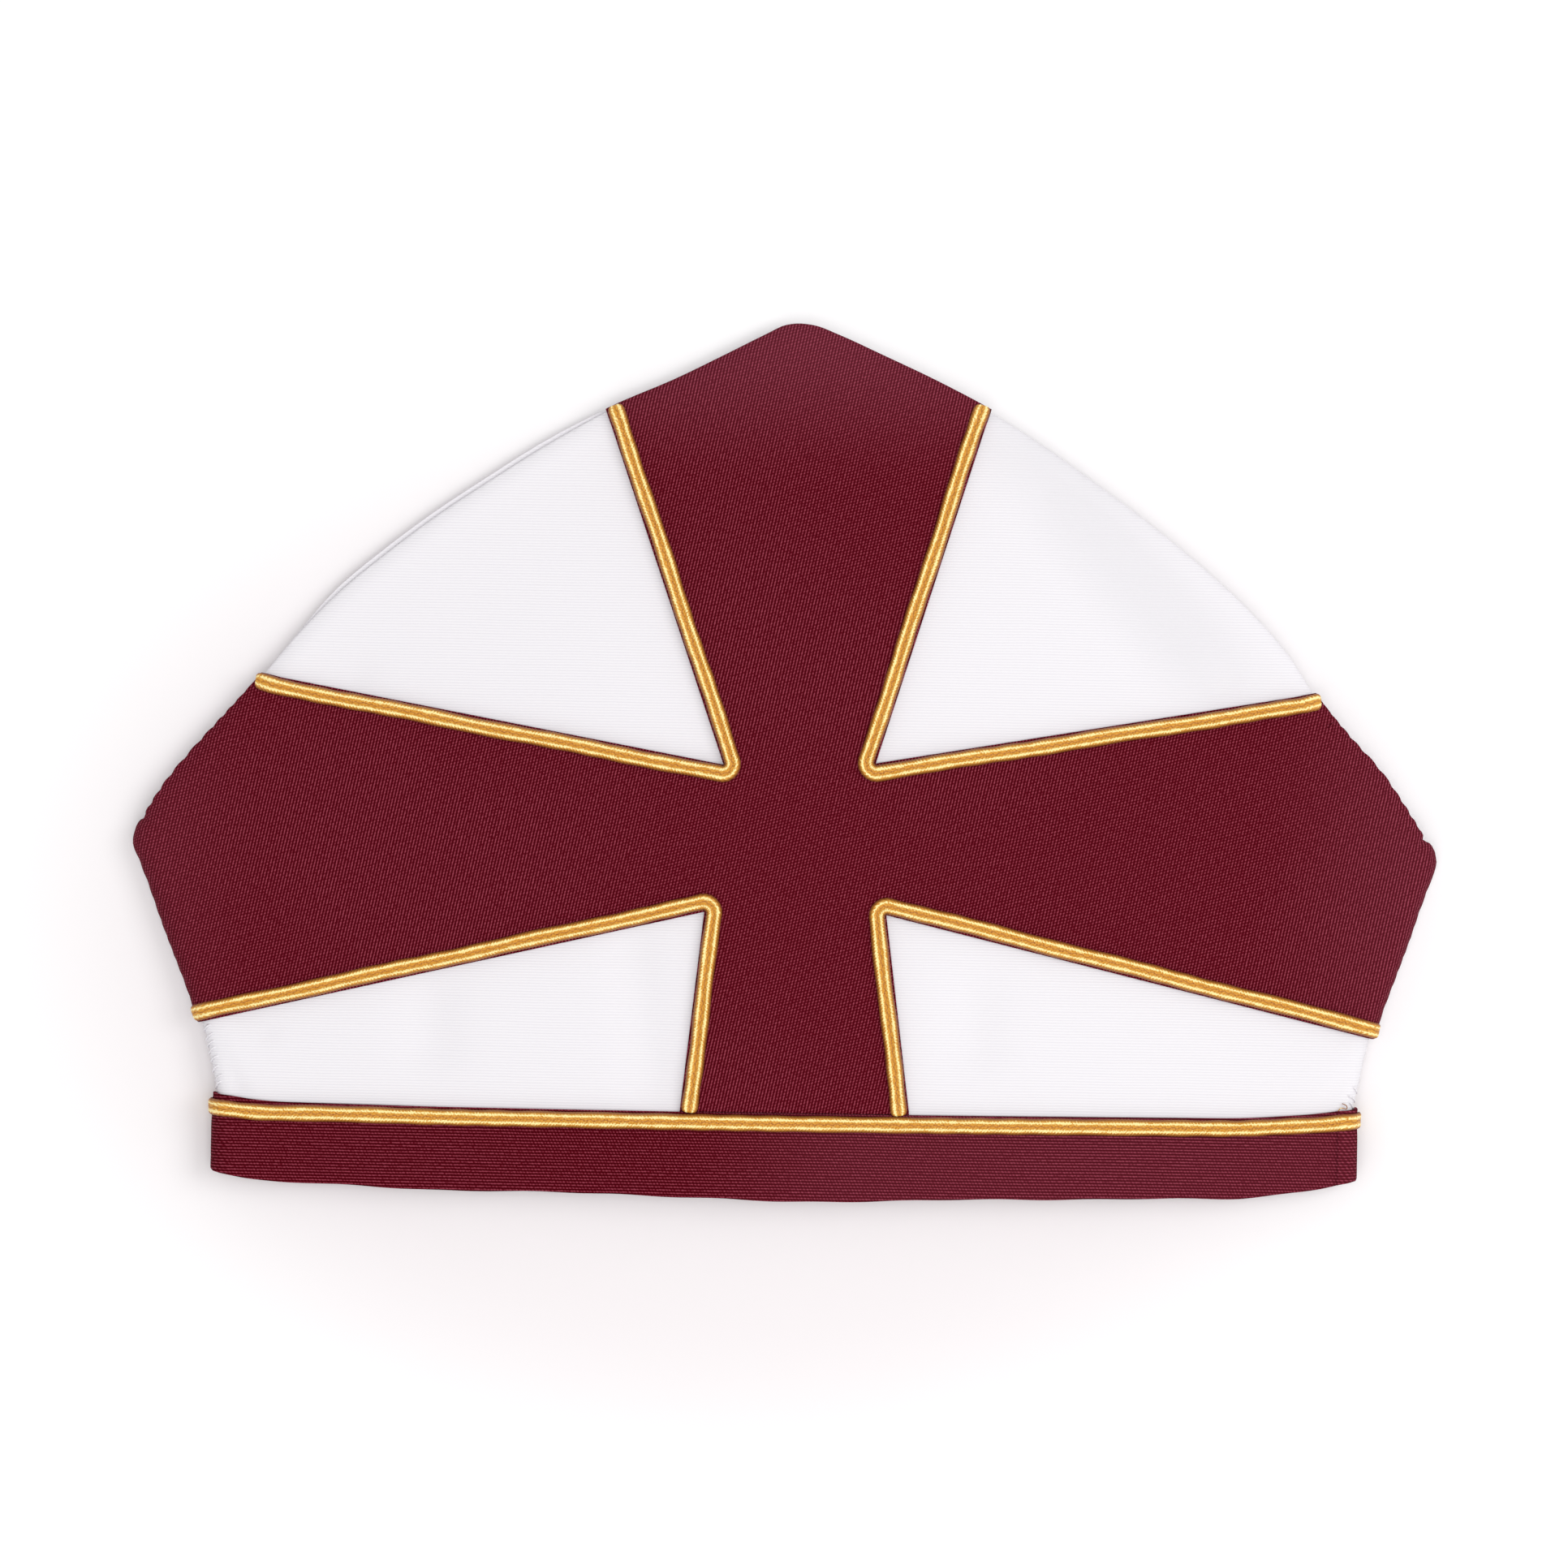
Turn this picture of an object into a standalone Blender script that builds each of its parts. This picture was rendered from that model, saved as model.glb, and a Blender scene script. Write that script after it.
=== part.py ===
"""A bishop's mitre of ribbed cloth, lying folded flat on its back.

Metres, +Z up. The origin is under the middle of the mitre, on the surface that it lies on. The peak
points to +Y, the headband lies towards -Y, and the front panel with its cross faces up.

Each piece of cloth is a sheet in developed coordinates: across and along the flat cloth, with the
last few millimetres bent round the closed edges. Whatever lies on a panel is laid on the same
surface, at its own lift above the middle of that panel's cloth.
"""

import math
from bisect import bisect_right
from functools import lru_cache

import bmesh
import bpy
from mathutils import Vector

# Driving dimensions
HEAD_GIRTH = 0.590          # round the headband, which lies folded in half
TIP_SPAN = 0.336            # between the side tips, over the cross's arm ends
PEAK_HEIGHT = 0.2258        # headband's lower edge to the peak
TIP_HEIGHT = 0.0926         # headband's lower edge to the level of the side tips
BAND_HEIGHT = 0.0227        # headband, at the middle of the front
AXIS_SHIFT = 0.0012         # peak and headband sit this far to the right of the tips' middle

PANEL_CLOTH = 0.0012        # interlined white cloth
TRIM_CLOTH = 0.0010         # maroon cloth with its turned-in edge
GUSSET_CLOTH = 0.0010       # white gusset cloth
GAP = 0.0003                # clearance between two layers

BRAID_WIDTH = 0.0042
BRAID_THICKNESS = 0.0014
BRAID_CORNER = 0.0027       # centre-line radius where a braid turns a corner
CLOTH_MARGIN = 0.0005       # maroon cloth that shows beside its braid

FOLD_RADIUS = 0.0028        # middle of the panel cloth, round the side folds
UPPER_BEND = math.radians(35.0)
LOFT = 0.0050               # how far the empty crown stands up in the middle
GUSSET_AIR = 0.0009         # between the two legs of the folded gusset
GUSSET_PEEK = 0.0010        # the layers behind reach past the front, upper left
GUSSET_TUCK = 0.0008        # and stay behind it, upper right
HEM_INSET = 0.0015          # panels end this far above the headband's lower edge
DENT_DEPTH = 0.0014
DENT_WIDTH = 0.0100

# Mesh fineness
HEM_ROWS = (0.0, 0.5, 1.0)
BEND_STEPS = 3
FRONT_COLUMNS = 24
BACK_COLUMNS = 10
GUSSET_COLUMNS = 6
BAND_COLUMNS = 20
BAND_ROWS = 3
ARM_ROW = 0.015
BRAID_STEP = 0.013
CORNER_STEPS = 4

# Worked out
EDGE_LENGTH = FOLD_RADIUS * math.pi / 2
TRIM_STEP = GAP + TRIM_CLOTH
TRIM_LIFT = PANEL_CLOTH / 2 + GAP + TRIM_CLOTH / 2
BRAID_LIFT = PANEL_CLOTH / 2 + TRIM_STEP + GAP
BAND_RISE = TRIM_STEP + GAP + BRAID_THICKNESS
BAND_LENGTH = HEAD_GIRTH / 2
FOOT_Y = -PEAK_HEIGHT / 2
TIP_Y = FOOT_Y + TIP_HEIGHT
BAND_TOP_Y = FOOT_Y + BAND_HEIGHT
PANEL_PEAK = PEAK_HEIGHT - TIP_HEIGHT - TRIM_STEP * math.sin(UPPER_BEND)
PANEL_TIP = TIP_SPAN / 2 - TRIM_STEP
PANEL_FOOT_HALF = BAND_LENGTH / 2 - TRIM_STEP
BAND_TOP_UP = BAND_HEIGHT / TIP_HEIGHT - 1.0

# Front panel's side edge, tip to headband. Columns: share of the way down, share of the tip's reach.
SIDE_EDGE = (
    (0.005, 0.998),
    (0.10, 0.895),
    (0.20, 0.765),
    (0.33, 0.615),
    (0.46, 0.450),
    (0.60, 0.295),
    (0.74, 0.165),
    (0.88, 0.065),
)

# Front panel's upper edge, tip to peak. Columns: share of the way up, left and right reach as
# shares of the tip's reach.
UPPER_EDGE = (
    (0.032, 0.976, 0.974),
    (0.091, 0.945, 0.939),
    (0.151, 0.907, 0.903),
    (0.219, 0.861, 0.858),
    (0.287, 0.814, 0.820),
    (0.377, 0.754, 0.772),
    (0.468, 0.685, 0.706),
    (0.543, 0.616, 0.639),
    (0.619, 0.539, 0.562),
    (0.694, 0.450, 0.477),
    (0.762, 0.367, 0.393),
    (0.830, 0.283, 0.306),
    (0.891, 0.182, 0.208),
    (0.943, 0.099, 0.118),
    (0.981, 0.039, 0.050),
    (0.996, 0.014, 0.020),
)

# Headband's edges along the front. Columns: share of the half length from the middle, share of the
# band's height that the upper edge and the lower edge are raised by.
BAND_EDGES = (
    (-1.00, 0.04, 0.27),
    (-0.965, 0.03, 0.17),
    (-0.90, 0.02, 0.12),
    (-0.60, 0.01, 0.06),
    (-0.30, 0.00, 0.06),
    (0.00, 0.00, 0.00),
    (0.38, 0.00, 0.07),
    (0.80, 0.03, 0.12),
    (0.94, 0.06, 0.25),
    (1.00, 0.10, 0.36),
)

# Braid lines of the cross. Columns: corner, end of the upright run, end of the level run, each as
# (across, up): across in half tip spans, up in heights above the tips or below them to the foot.
BRAIDS = {
    "upper_left": ((-0.073, 0.119), (-0.272, 0.832), (-0.818, 0.287)),
    "upper_right": ((0.115, 0.127), (0.290, 0.845), (0.810, 0.282)),
    "lower_left": ((-0.104, -0.167), (-0.138, BAND_TOP_UP), (-0.894, -0.508)),
    "lower_right": ((0.139, -0.167), (0.182, BAND_TOP_UP), (0.905, -0.496)),
}

# Soft dents in the front panel. Columns: start and end as (across, up), depth and width as shares.
DENTS = (
    ((0.43, 0.66), (0.65, 0.33), 1.00, 1.00),
    ((-0.23, -0.33), (-0.20, -0.66), 0.55, 0.80),
    ((-0.54, -0.48), (-0.54, -0.58), 0.50, 0.90),
    ((0.29, -0.45), (0.29, -0.56), 0.50, 0.90),
    ((-0.73, 0.33), (-0.67, 0.31), 0.40, 0.70),
)

# Braid section: two cords side by side. Columns: share of the width, share of the thickness.
BRAID_SECTION = (
    (-0.38, 0.00),
    (0.38, 0.00),
    (0.50, 0.50),
    (0.27, 1.00),
    (0.00, 0.60),
    (-0.27, 1.00),
    (-0.50, 0.50),
)

# Colours: red, green, blue, roughness
WHITE = (0.88, 0.87, 0.89, 0.75)
MAROON = (0.125, 0.010, 0.022, 0.70)
GOLD = (0.70, 0.37, 0.07, 0.45)


def smooth(value):
    """Ease from 0 to 1 while value runs from 0 to 1."""
    t = min(1.0, max(0.0, value))
    return t * t * (3.0 - 2.0 * t)


def place(across, up):
    """Plan point of a (across, up) pair of shares."""
    reach = PEAK_HEIGHT - TIP_HEIGHT if up > 0.0 else TIP_HEIGHT
    return Vector((across * TIP_SPAN / 2, TIP_Y + up * reach))


def read_table(table, at, column):
    """Value of a column where the table's first column equals at, straight between rows."""
    keys = [row[0] for row in table]
    at = min(keys[-1], max(keys[0], at))
    index = min(len(table) - 2, max(0, bisect_right(keys, at) - 1))
    low, high = table[index], table[index + 1]
    return low[column] + (high[column] - low[column]) * (at - low[0]) / (high[0] - low[0])


def band_top(x):
    """Upper edge of the headband's cloth at x."""
    share = (x - AXIS_SHIFT) / (BAND_LENGTH / 2)
    return BAND_TOP_Y + read_table(BAND_EDGES, share, 1) * BAND_HEIGHT


def band_foot(x):
    """Lower edge of the headband's cloth at x."""
    share = (x - AXIS_SHIFT) / (BAND_LENGTH / 2)
    return FOOT_Y + read_table(BAND_EDGES, share, 2) * BAND_HEIGHT


def upper_share(y):
    """0 on the side folds, 1 on the open upper edges, eased round the tips."""
    return smooth((y - TIP_Y + 0.06 * TIP_HEIGHT) / (0.12 * TIP_HEIGHT))


def rise(y):
    """How far the panels are raised off the surface by the headband and braid behind them."""
    return BAND_RISE * smooth((TIP_Y - 0.06 * TIP_HEIGHT - y) / (TIP_Y - 0.06 * TIP_HEIGHT - BAND_TOP_Y))


def segment_distance(point, start, end):
    """Distance from a plan point to a straight stretch."""
    run = end - start
    share = min(1.0, max(0.0, (point - start).dot(run) / run.length_squared))
    return (point - start - share * run).length


def dents(point):
    """Depth of the soft dents at a plan point."""
    total = 0.0
    for start, end, depth, width in DENTS:
        away = segment_distance(point, place(*start), place(*end)) / (width * DENT_WIDTH)
        total += depth * DENT_DEPTH * math.exp(-away * away)
    return total


class Panel:
    """One face of the crown: a gentle surface inside, bent round along its closed edge.

    rows holds the panel's visible edge as (left, right) plan points from hem to peak, and the peak.
    """

    def __init__(self, rows, peak, side, upper_bend, level):
        self.side = side
        self.upper_bend = upper_bend
        self.level = level
        low_left, low_right = rows[0]
        below = Vector((0.0, -0.25 * BAND_HEIGHT))
        left = [low_left + below] + [row[0] for row in rows]
        right = [low_right + below] + [row[1] for row in rows]
        edge = left + [peak] + right[::-1]
        self.edge = [self.shoulder(edge, index) for index in range(len(edge))]
        self.left = self.edge[1:len(left)]
        self.right = self.edge[len(left) + 1:-1][::-1]
        self.peak = self.edge[len(left)]

    def bend(self, y):
        """Angle that the cloth turns through along its closed edge at y."""
        share = upper_share(y)
        return self.upper_bend * share + math.pi / 2 * (1.0 - share)

    def shoulder(self, edge, index):
        """Where the bend starts, inside edge point number index."""
        before = edge[max(0, index - 1)]
        after = edge[min(len(edge) - 1, index + 1)]
        run = (after - before).normalized()
        outward = Vector((-run.y, run.x))
        bend = self.bend(edge[index].y)
        inset = EDGE_LENGTH * math.sin(bend) / bend + PANEL_CLOTH / 2 * math.sin(bend)
        return edge[index] - outward * inset

    def nearest(self, point):
        """Closest point on the shoulder line, its outward direction and the signed distance."""
        best = None
        for start, end in zip(self.edge, self.edge[1:]):
            run = end - start
            share = min(1.0, max(0.0, (point - start).dot(run) / run.length_squared))
            foot = start + share * run
            away = (point - foot).length
            if best is None or away < best[0]:
                outward = Vector((-run.y, run.x)).normalized()
                best = (away, foot, outward)
        away, foot, outward = best
        sign = 1.0 if (point - foot).dot(outward) > 0.0 else -1.0
        if away > 1e-7 and sign > 0.0:
            outward = (point - foot) / away
        return foot, outward, sign * away

    def beyond(self, point):
        """How far a developed point lies past the shoulder line, negative inside it."""
        return self.nearest(point)[2]

    def lay(self, point, lift):
        """Position in space and normal of a developed point, lift above the cloth's middle."""
        foot, outward, past = self.nearest(point)
        if past <= 0.0:
            normal = Vector((0.0, 0.0, self.side))
            return Vector((point.x, point.y, self.level(point))) + lift * normal, normal
        curve = self.bend(foot.y) / EDGE_LENGTH
        turn = curve * past
        normal = Vector((outward.x * math.sin(turn), outward.y * math.sin(turn), self.side * math.cos(turn)))
        flat = foot + outward * math.sin(turn) / curve
        drop = self.side * (1.0 - math.cos(turn)) / curve
        return Vector((flat.x, flat.y, self.level(foot) - drop)) + lift * normal, normal

    def past_edge(self, foot, share):
        """Developed point past shoulder point foot, at a share of the bent strip."""
        return foot + self.outward(foot) * EDGE_LENGTH * share

    def outward(self, foot):
        """Outward direction at a point of the shoulder line."""
        index = min(range(len(self.edge)), key=lambda item: (self.edge[item] - foot).length)
        before = self.edge[max(0, index - 1)]
        after = self.edge[min(len(self.edge) - 1, index + 1)]
        run = (after - before).normalized()
        return Vector((-run.y, run.x))

    def crossing(self, start, direction, past):
        """Developed point on a line, where it lies past the shoulder line by the given length."""
        low, high = 0.0, TIP_SPAN
        for _ in range(40):
            middle = (low + high) / 2
            if self.beyond(start + direction * middle) < past:
                low = middle
            else:
                high = middle
        return start + direction * high


@lru_cache(maxsize=None)
def front_rows():
    """Visible edge of the front panel as (left, right) plan points, hem to peak."""
    rows = []
    for share in HEM_ROWS:
        pair = []
        for sign in (-1.0, 1.0):
            x = AXIS_SHIFT + sign * PANEL_FOOT_HALF
            low = band_foot(x) + HEM_INSET
            pair.append(Vector((x, low + share * (band_top(x) - low))))
        rows.append(tuple(pair))
    for down, reach in reversed(SIDE_EDGE):
        y = TIP_Y + down * (BAND_TOP_Y - TIP_Y)
        side = PANEL_FOOT_HALF + reach * (PANEL_TIP - PANEL_FOOT_HALF)
        lean = AXIS_SHIFT * (1.0 - reach)
        rows.append((Vector((lean - side, y)), Vector((lean + side, y))))
    for up, left, right in UPPER_EDGE:
        y = TIP_Y + up * PANEL_PEAK
        rows.append((Vector((-left * PANEL_TIP, y)), Vector((right * PANEL_TIP, y))))
    return rows


def half_width(y):
    """Half of the crown's width at y, inside the bent strips."""
    table = [(left.y, (right.x - left.x) / 2 - EDGE_LENGTH) for left, right in front_rows()]
    return max(EDGE_LENGTH, read_table(table, y, 1))


def back_rows():
    """Visible edge of the layers behind, which peek out on the upper left."""
    rows = []
    for left, right in front_rows():
        share = smooth((left.y - TIP_Y) / (0.25 * PANEL_PEAK))
        rows.append((left + Vector((-share * GUSSET_PEEK, share * GUSSET_PEEK * 0.6)),
                     right + Vector((-share * GUSSET_TUCK, -share * GUSSET_TUCK * 0.6))))
    return rows


def peak_point():
    """Visible peak of the panels."""
    return Vector((AXIS_SHIFT, TIP_Y + PANEL_PEAK))


def back_level(point):
    """Middle of the back panel's cloth."""
    return PANEL_CLOTH / 2 + rise(point.y)


def front_level(point):
    """Middle of the front panel's cloth: over the back panel, lofted, with soft dents."""
    across = min(1.0, abs(point.x - AXIS_SHIFT) / half_width(point.y))
    up = smooth((TIP_Y + PANEL_PEAK - point.y) / (0.75 * PANEL_PEAK))
    foot = 1.0 - 0.35 * smooth((TIP_Y - point.y) / TIP_HEIGHT)
    loft = LOFT * (1.0 - across * across) ** 2 * up * foot
    height = back_level(point) + 2 * FOLD_RADIUS + GAP + loft
    return height - min(dents(point) * min(1.0, 3.0 * (1.0 - across * across)), loft + 0.25 * FOLD_RADIUS)


def material(name, colour):
    """Plain cloth or braid material."""
    result = bpy.data.materials.new(name)
    result.use_nodes = True
    shader = result.node_tree.nodes["Principled BSDF"]
    shader.inputs["Base Color"].default_value = (*colour[:3], 1.0)
    shader.inputs["Roughness"].default_value = colour[3]
    shader.inputs["Metallic"].default_value = 0.0
    return result


def add_object(name, mesh, colour):
    """Link a finished bmesh as a named object with its own material."""
    bmesh.ops.recalc_face_normals(mesh, faces=mesh.faces)
    data = bpy.data.meshes.new(name)
    mesh.to_mesh(data)
    mesh.free()
    data.materials.append(material(name, colour))
    data.shade_smooth()
    data.set_sharp_from_angle(angle=math.radians(50.0))
    bpy.context.collection.objects.link(bpy.data.objects.new(name, data))


class Sheet:
    """Cloth of even thickness: laid points joined by faces, then given both sides and a rim."""

    def __init__(self):
        self.points = []
        self.faces = []

    def add(self, laid):
        """Add a laid point, a pair of position and normal, and return its number."""
        self.points.append(laid)
        return len(self.points) - 1

    def fill(self, grid, closed=False):
        """Join the point numbers of a grid, row by row, leaving out what has shrunk to a point."""
        for low, high in zip(grid, grid[1:]):
            count = len(low) if closed else len(low) - 1
            for index in range(count):
                after = (index + 1) % len(low)
                corners = [low[index], low[after], high[after], high[index]]
                face = [corner for place_in, corner in enumerate(corners) if corner != corners[place_in - 1]]
                if len(face) > 2:
                    self.faces.append(face)

    def build(self, name, thickness, colour):
        """Make the solid cloth object."""
        mesh = bmesh.new()
        outer = [mesh.verts.new(spot + normal * thickness / 2) for spot, normal in self.points]
        inner = [mesh.verts.new(spot - normal * thickness / 2) for spot, normal in self.points]
        for face in self.faces:
            mesh.faces.new([outer[number] for number in face])
            mesh.faces.new([inner[number] for number in reversed(face)])
        used = {}
        for face in self.faces:
            for start, end in zip(face, face[1:] + face[:1]):
                used[(start, end)] = True
        for start, end in used:
            if (end, start) not in used:
                mesh.faces.new((outer[end], outer[start], inner[start], inner[end]))
        add_object(name, mesh, colour)


def panel_sheet(panel, columns):
    """Cloth of one panel, rows from hem to peak, closed over the peak."""
    sheet = Sheet()
    steps = [step / BEND_STEPS for step in range(BEND_STEPS, 0, -1)]
    grid = []
    for number, (left, right) in enumerate(zip(panel.left, panel.right)):
        row = [sheet.add(panel.lay(panel.past_edge(left, step), 0.0)) for step in steps]
        for index in range(columns + 1):
            point = left.lerp(right, index / columns)
            if number < len(HEM_ROWS) and 0 < index < columns:
                low = band_foot(point.x) + HEM_INSET
                point.y = low + HEM_ROWS[number] * (band_top(point.x) - low)
            row.append(sheet.add(panel.lay(point, 0.0)))
        row += [sheet.add(panel.lay(panel.past_edge(right, step), 0.0)) for step in reversed(steps)]
        grid.append(row)
    top = [sheet.add(panel.lay(panel.past_edge(panel.peak, step), 0.0)) for step in steps]
    middle = sheet.add(panel.lay(panel.peak, 0.0))
    grid.append(top + [middle] * (columns + 1) + top[::-1])
    sheet.fill(grid)
    return sheet


def build_panels(front, back):
    """The two shields of the crown."""
    panel_sheet(front, FRONT_COLUMNS).build("front_panel", PANEL_CLOTH, WHITE)
    panel_sheet(back, BACK_COLUMNS).build("back_panel", PANEL_CLOTH, WHITE)


def build_gusset():
    """White cloth between the upper edges, folded in along a line between the tips."""
    back_mid = PANEL_CLOTH + GAP + GUSSET_CLOTH / 2
    radius = (GUSSET_CLOTH + GUSSET_AIR) / 2
    front_mid = back_mid + 2 * radius
    fold_y = TIP_Y + 0.08 * TIP_HEIGHT
    rows = [row for row in back_rows() if row[0].y > fold_y + 2 * radius]
    sheet = Sheet()

    def across(left, right, y_shift, z, normal):
        """One row of laid points."""
        row = []
        for index in range(GUSSET_COLUMNS + 1):
            spot = left.lerp(right, index / GUSSET_COLUMNS)
            row.append(sheet.add((Vector((spot.x, spot.y + y_shift, z)), normal)))
        return row

    def tip_row(z, normal):
        """The last row, shrunk to the peak."""
        peak = peak_point()
        return [sheet.add((Vector((peak.x, peak.y, z)), normal))] * (GUSSET_COLUMNS + 1)

    up = Vector((0.0, 0.0, 1.0))
    grid = [tip_row(front_mid, up)]
    grid += [across(left, right, 0.0, front_mid, up) for left, right in reversed(rows)]
    left, right = rows[0]
    for step in range(5):
        angle = math.pi * step / 4
        normal = Vector((0.0, -math.sin(angle), math.cos(angle)))
        shift = fold_y - left.y - radius * math.sin(angle)
        grid.append(across(left, right, shift, back_mid + radius + radius * math.cos(angle), normal))
    grid += [across(left, right, 0.0, back_mid, -up) for left, right in rows]
    grid.append(tip_row(back_mid, -up))
    sheet.fill(grid)
    sheet.build("crown_gusset", GUSSET_CLOTH, WHITE)


class BraidLine:
    """Corner and two runs of one of the cross's braids, and the cloth's corner beside it."""

    def __init__(self, name):
        corner, upright, level = (place(*pair) for pair in BRAIDS[name])
        self.corner = corner
        self.upright = (upright - corner).normalized()
        self.level = (level - corner).normalized()
        margin = BRAID_WIDTH / 2 + CLOTH_MARGIN
        opening = self.upright.angle(self.level)
        self.cloth_corner = corner + (self.upright + self.level) * margin / math.sin(opening)


def even_out(points, count):
    """Add points in the middle of the longest stretches until there are count of them."""
    points = list(points)
    while len(points) < count:
        lengths = [(end[0] - start[0]).length for start, end in zip(points, points[1:])]
        index = lengths.index(max(lengths))
        halves = [start.lerp(end, 0.5) for start, end in zip(points[index], points[index + 1])]
        points.insert(index + 1, halves)
    return points


def arm_ends(front, first, second):
    """Ends of an arm's columns, each as developed points from the shoulder line to the rim.

    first and second are (start, direction) of the arm's two edges, in order along the edge.
    """
    steps = [EDGE_LENGTH * step / BEND_STEPS for step in range(BEND_STEPS + 1)]
    ends = [[front.crossing(*line, step) for step in steps] for line in (first, second)]
    places = []
    for end in ends:
        foot = front.nearest(end[0])[0]
        index = min(range(len(front.edge) - 1),
                    key=lambda item: segment_distance(foot, front.edge[item], front.edge[item + 1]))
        places.append(index)
    between = []
    for index in range(places[0] + 1, places[1] + 1):
        foot = front.edge[index]
        if min((foot - end[0]).length for end in ends) > BRAID_WIDTH / 3:
            between.append([front.past_edge(foot, step / BEND_STEPS) for step in range(BEND_STEPS + 1)])
    return [ends[0]] + between + [ends[1]]


def build_cross(front):
    """Cross pattée of maroon cloth: a middle block and four arms that widen outwards."""
    lines = {name: BraidLine(name) for name in BRAIDS}
    corner = {name: line.cloth_corner for name, line in lines.items()}
    edge = {(name, run): (corner[name], getattr(line, run)) for name, line in lines.items()
            for run in ("upright", "level")}
    top = arm_ends(front, edge["upper_left", "upright"], edge["upper_right", "upright"])
    left = arm_ends(front, edge["lower_left", "level"], edge["upper_left", "level"])
    right = arm_ends(front, edge["upper_right", "level"], edge["lower_right", "level"])
    sides = max(len(left), len(right))
    left, right = even_out(left, sides), even_out(right, sides)

    sheet = Sheet()
    numbers = {}

    def add(point):
        """Number of the laid point, made once."""
        key = (round(point.x, 7), round(point.y, 7))
        if key not in numbers:
            numbers[key] = sheet.add(front.lay(point, TRIM_LIFT))
        return numbers[key]

    columns, rows = len(top) - 1, sides - 1

    def block(across, up):
        """Point of the middle block, by shares."""
        low = corner["lower_left"].lerp(corner["lower_right"], across)
        high = corner["upper_left"].lerp(corner["upper_right"], across)
        return low.lerp(high, up)

    sheet.fill([[add(block(column / columns, row / rows)) for column in range(columns + 1)]
                for row in range(rows + 1)])

    def arm(starts, ends):
        """Fill an arm between its inner points and its columns' ends."""
        length = max((end[0] - start).length for start, end in zip(starts, ends))
        count = max(2, math.ceil(length / ARM_ROW))
        grid = []
        for step in range(count + 1):
            grid.append([add(start.lerp(end[0], step / count)) for start, end in zip(starts, ends)])
        for step in range(1, len(ends[0])):
            grid.append([add(end[step]) for end in ends])
        sheet.fill(grid)

    arm([block(column / columns, 1.0) for column in range(columns + 1)], top)
    arm([block(0.0, row / rows) for row in range(rows + 1)], left)
    arm([block(1.0, 1.0 - row / rows) for row in range(rows + 1)], right)

    bottom = []
    foot = []
    for name in ("lower_right", "lower_left"):
        start, run = edge[name, "upright"]
        goal = band_top(start.x) + GAP
        foot.append(start + run * (goal - start.y) / run.y)
    for column in range(columns + 1):
        point = foot[0].lerp(foot[1], column / columns)
        bottom.append([Vector((point.x, band_top(point.x) + GAP))])
    arm([block(1.0 - column / columns, 0.0) for column in range(columns + 1)], bottom)
    sheet.build("front_cross", TRIM_CLOTH, MAROON)


def loop_stations(front, back):
    """Stations round the folded headband as (panel, developed x), front first, then back."""
    foot_y = (BAND_TOP_Y + FOOT_Y) / 2
    strips = [EDGE_LENGTH * step / BEND_STEPS for step in range(1, BEND_STEPS + 1)]

    def reach(panel, sign):
        """Developed x of the panel's shoulder line beside the headband."""
        start = Vector((AXIS_SHIFT, foot_y))
        return panel.crossing(start, Vector((sign, 0.0)), 0.0).x

    stations = []
    for panel, sign, skip in ((front, 1.0, 0), (back, -1.0, 1)):
        start, end = reach(panel, -sign), reach(panel, sign)
        kept = strips[:len(strips) - skip]
        stations += [(panel, start - sign * strip) for strip in reversed(kept)]
        for index in range(BAND_COLUMNS + 1):
            stations.append((panel, start + (end - start) * index / BAND_COLUMNS))
        stations += [(panel, end + sign * strip) for strip in kept]
    return stations


def build_headband(front, back):
    """Maroon cloth loop round both panels."""
    sheet = Sheet()
    grid = []
    for row in range(BAND_ROWS + 1):
        numbers = []
        for panel, x in loop_stations(front, back):
            low = band_foot(x)
            point = Vector((x, low + (band_top(x) - low) * row / BAND_ROWS))
            numbers.append(sheet.add(panel.lay(point, TRIM_LIFT)))
        grid.append(numbers)
    sheet.fill(grid, closed=True)
    sheet.build("headband", TRIM_CLOTH, MAROON)


def build_braid(name, rings, closed):
    """Solid braid through rings of laid positions."""
    mesh = bmesh.new()
    made = [[mesh.verts.new(spot) for spot in ring] for ring in rings]
    pairs = list(zip(made, made[1:]))
    if closed:
        pairs.append((made[-1], made[0]))
    for before, after in pairs:
        for index in range(len(before)):
            follow = (index + 1) % len(before)
            mesh.faces.new((before[index], before[follow], after[follow], after[index]))
    if not closed:
        mesh.faces.new(made[0])
        mesh.faces.new(made[-1][::-1])
    add_object(name, mesh, GOLD)


def build_headband_braid(front, back):
    """Gold braid along the headband's upper edge, all the way round."""
    rings = []
    for panel, x in loop_stations(front, back):
        middle = band_top(x) - CLOTH_MARGIN - BRAID_WIDTH / 2
        ring = []
        for across, up in BRAID_SECTION:
            point = Vector((x, middle + across * BRAID_WIDTH))
            ring.append(panel.lay(point, BRAID_LIFT + up * BRAID_THICKNESS)[0])
        rings.append(ring)
    build_braid("headband_braid", rings, closed=True)


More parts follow.
